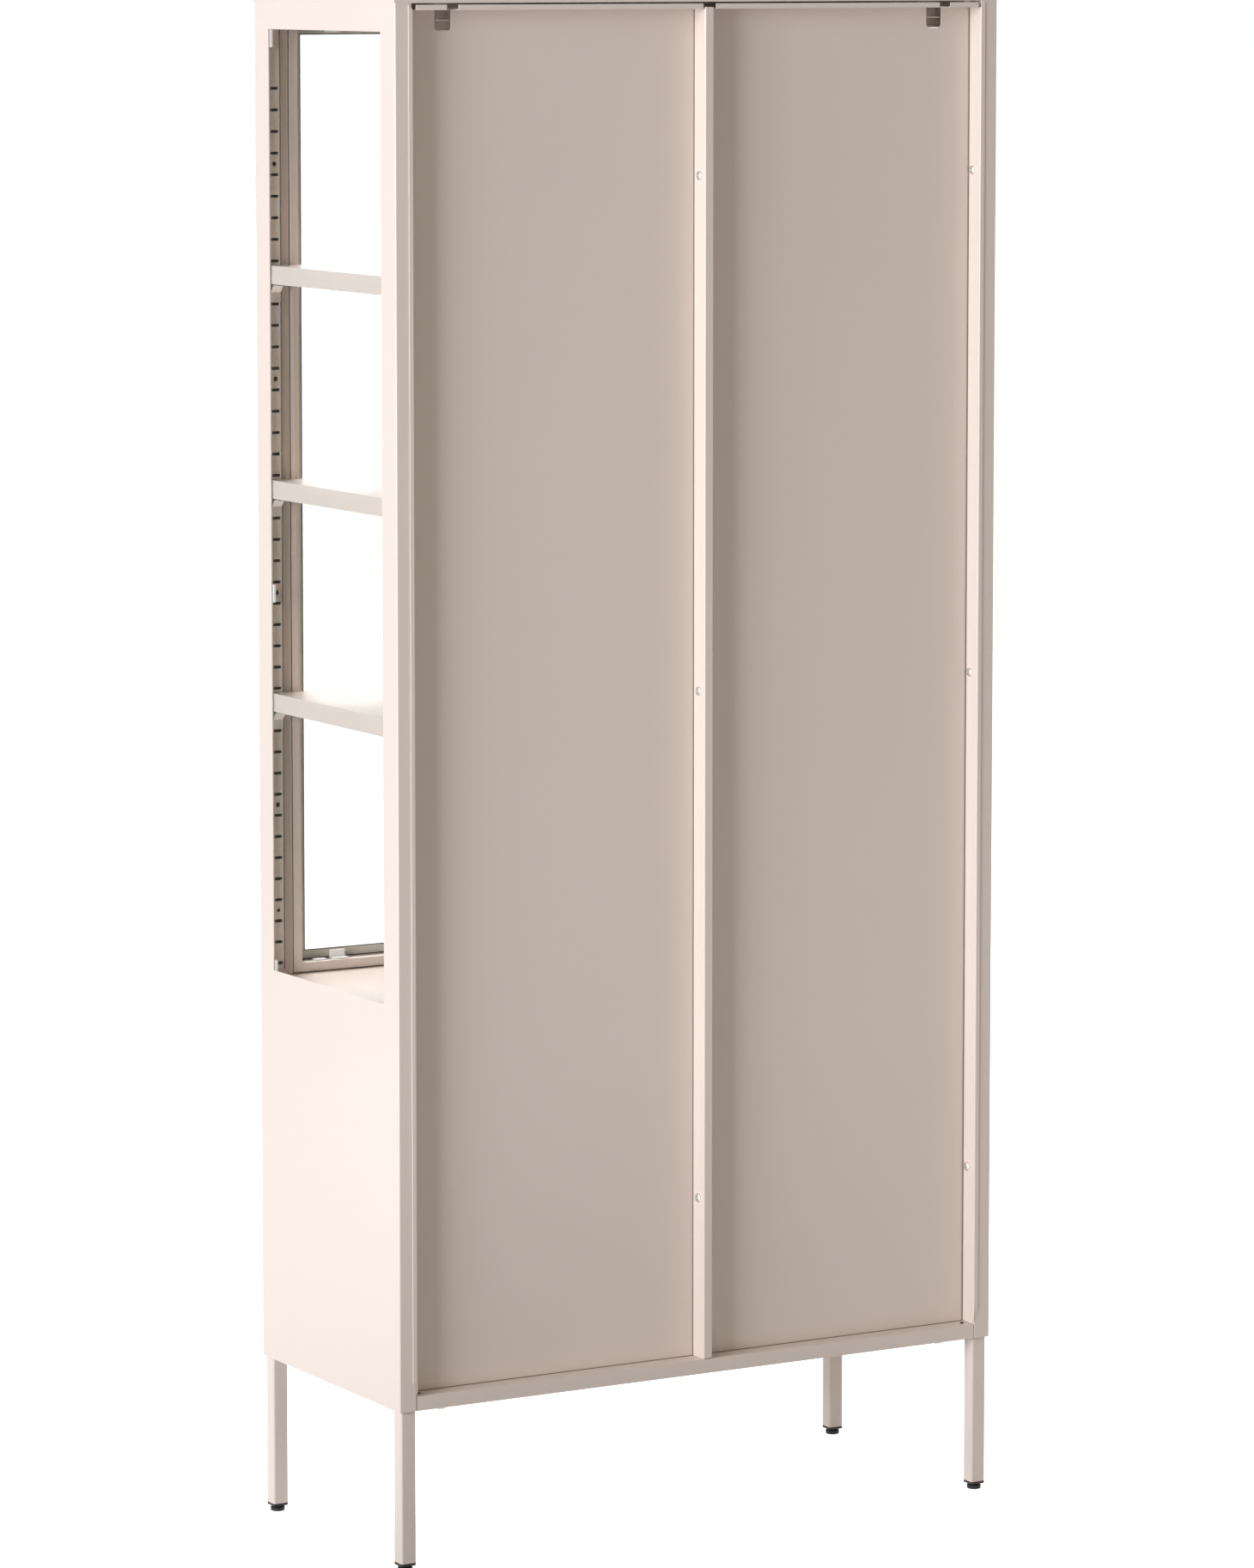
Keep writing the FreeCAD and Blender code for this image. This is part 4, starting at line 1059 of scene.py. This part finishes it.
bpy.ops.mesh.primitive_plane_add(size=floor_size, location=(0, 0, 0))
floor = bpy.context.object
floor.name = "floor"
paper = bpy.data.materials.new("paper_white")
paper.use_nodes = True
nodes, links = paper.node_tree.nodes, paper.node_tree.links
nodes.clear()
diffuse = nodes.new("ShaderNodeBsdfDiffuse")
diffuse.inputs["Color"].default_value = paper_colour
glow = nodes.new("ShaderNodeEmission")
place = nodes.new("ShaderNodeTexCoord")
distance = nodes.new("ShaderNodeVectorMath")
distance.operation = "LENGTH"
fade = nodes.new("ShaderNodeMapRange")
for socket, value in (("From Min", 1.2), ("From Max", 7.0), ("To Min", 0.88), ("To Max", 1.0)):
    fade.inputs[socket].default_value = value
dark = nodes.new("ShaderNodeEmission")
dark.inputs["Strength"].default_value = 0.0
rays = nodes.new("ShaderNodeLightPath")
brighter = brighter_behind_glass(nodes, links, rays)
switch = nodes.new("ShaderNodeMixShader")
both = nodes.new("ShaderNodeAddShader")
out = nodes.new("ShaderNodeOutputMaterial")
links.new(place.outputs["Object"], distance.inputs[0])
links.new(distance.outputs["Value"], fade.inputs["Value"])
links.new(fade.outputs["Result"], brighter.inputs[2])
links.new(brighter.outputs[0], glow.inputs["Strength"])
links.new(seen_directly(nodes, links, rays), switch.inputs["Fac"])
links.new(dark.outputs[0], switch.inputs[1])
links.new(glow.outputs[0], switch.inputs[2])
links.new(diffuse.outputs[0], both.inputs[0])
links.new(switch.outputs[0], both.inputs[1])
links.new(both.outputs[0], out.inputs["Surface"])
floor.data.materials.append(paper)
print("floor:", floor_size, "m wide")

# %% [markdown]
# Two dark boards stand on the set, as in a photographer's studio. A side pane seen at a slant
# mirrors whatever stands beside the cabinet: the first board is what it mirrors, so that it shows
# the shelves and not a white haze. Its material is dark only for light that a mirror has turned,
# and clear for all other light, so nobody sees the board itself through the glass. The second
# lies low before the side lamp, only casts a shadow, and keeps a part of the light off the legs.

# %% Dark boards
felt_colour = (0.02, 0.02, 0.02, 1)
felt_gloss = 0.9
once_mirrored = 0.5          # a count above this is 1 or more


def felt_material():
    felt = bpy.data.materials.new("dark_felt")
    felt.use_nodes = True
    nodes, links = felt.node_tree.nodes, felt.node_tree.links
    shader = nodes["Principled BSDF"]
    shader.inputs["Base Color"].default_value = felt_colour
    shader.inputs["Roughness"].default_value = felt_gloss
    rays = nodes.new("ShaderNodeLightPath")
    mirrored = nodes.new("ShaderNodeMath")
    mirrored.operation = "GREATER_THAN"
    mirrored.inputs[1].default_value = once_mirrored
    clear = nodes.new("ShaderNodeBsdfTransparent")
    choose = nodes.new("ShaderNodeMixShader")
    links.new(rays.outputs["Glossy Depth"], mirrored.inputs[0])
    links.new(mirrored.outputs[0], choose.inputs["Fac"])
    links.new(clear.outputs[0], choose.inputs[1])
    links.new(shader.outputs[0], choose.inputs[2])
    links.new(choose.outputs[0], nodes["Material Output"].inputs["Surface"])
    return felt


def dark_board(name, place, aim, size, hidden_from, material):
    bpy.ops.mesh.primitive_plane_add(size=1, location=place)
    board = bpy.context.object
    board.name = name
    board.scale = (size[0], size[1], 1)
    board.rotation_euler = (Vector(aim) - Vector(place)).to_track_quat("Z", "Y").to_euler()
    for ray in hidden_from:
        setattr(board, "visible_" + ray, False)
    board.data.materials.append(material)


dark_board("pane_board", place=(1.63, -2.4, 0.9), aim=(0.4, 0, 0.9), size=(0.6, 1.8),
           hidden_from=("camera", "diffuse", "shadow"), material=felt_material())
dark_board("leg_board", place=(2.6, 0.75, 0.19), aim=(0, 0, 0.19), size=(3.0, 0.36),
           hidden_from=("camera", "diffuse", "glossy", "transmission"), material=finishes["black_plastic"])
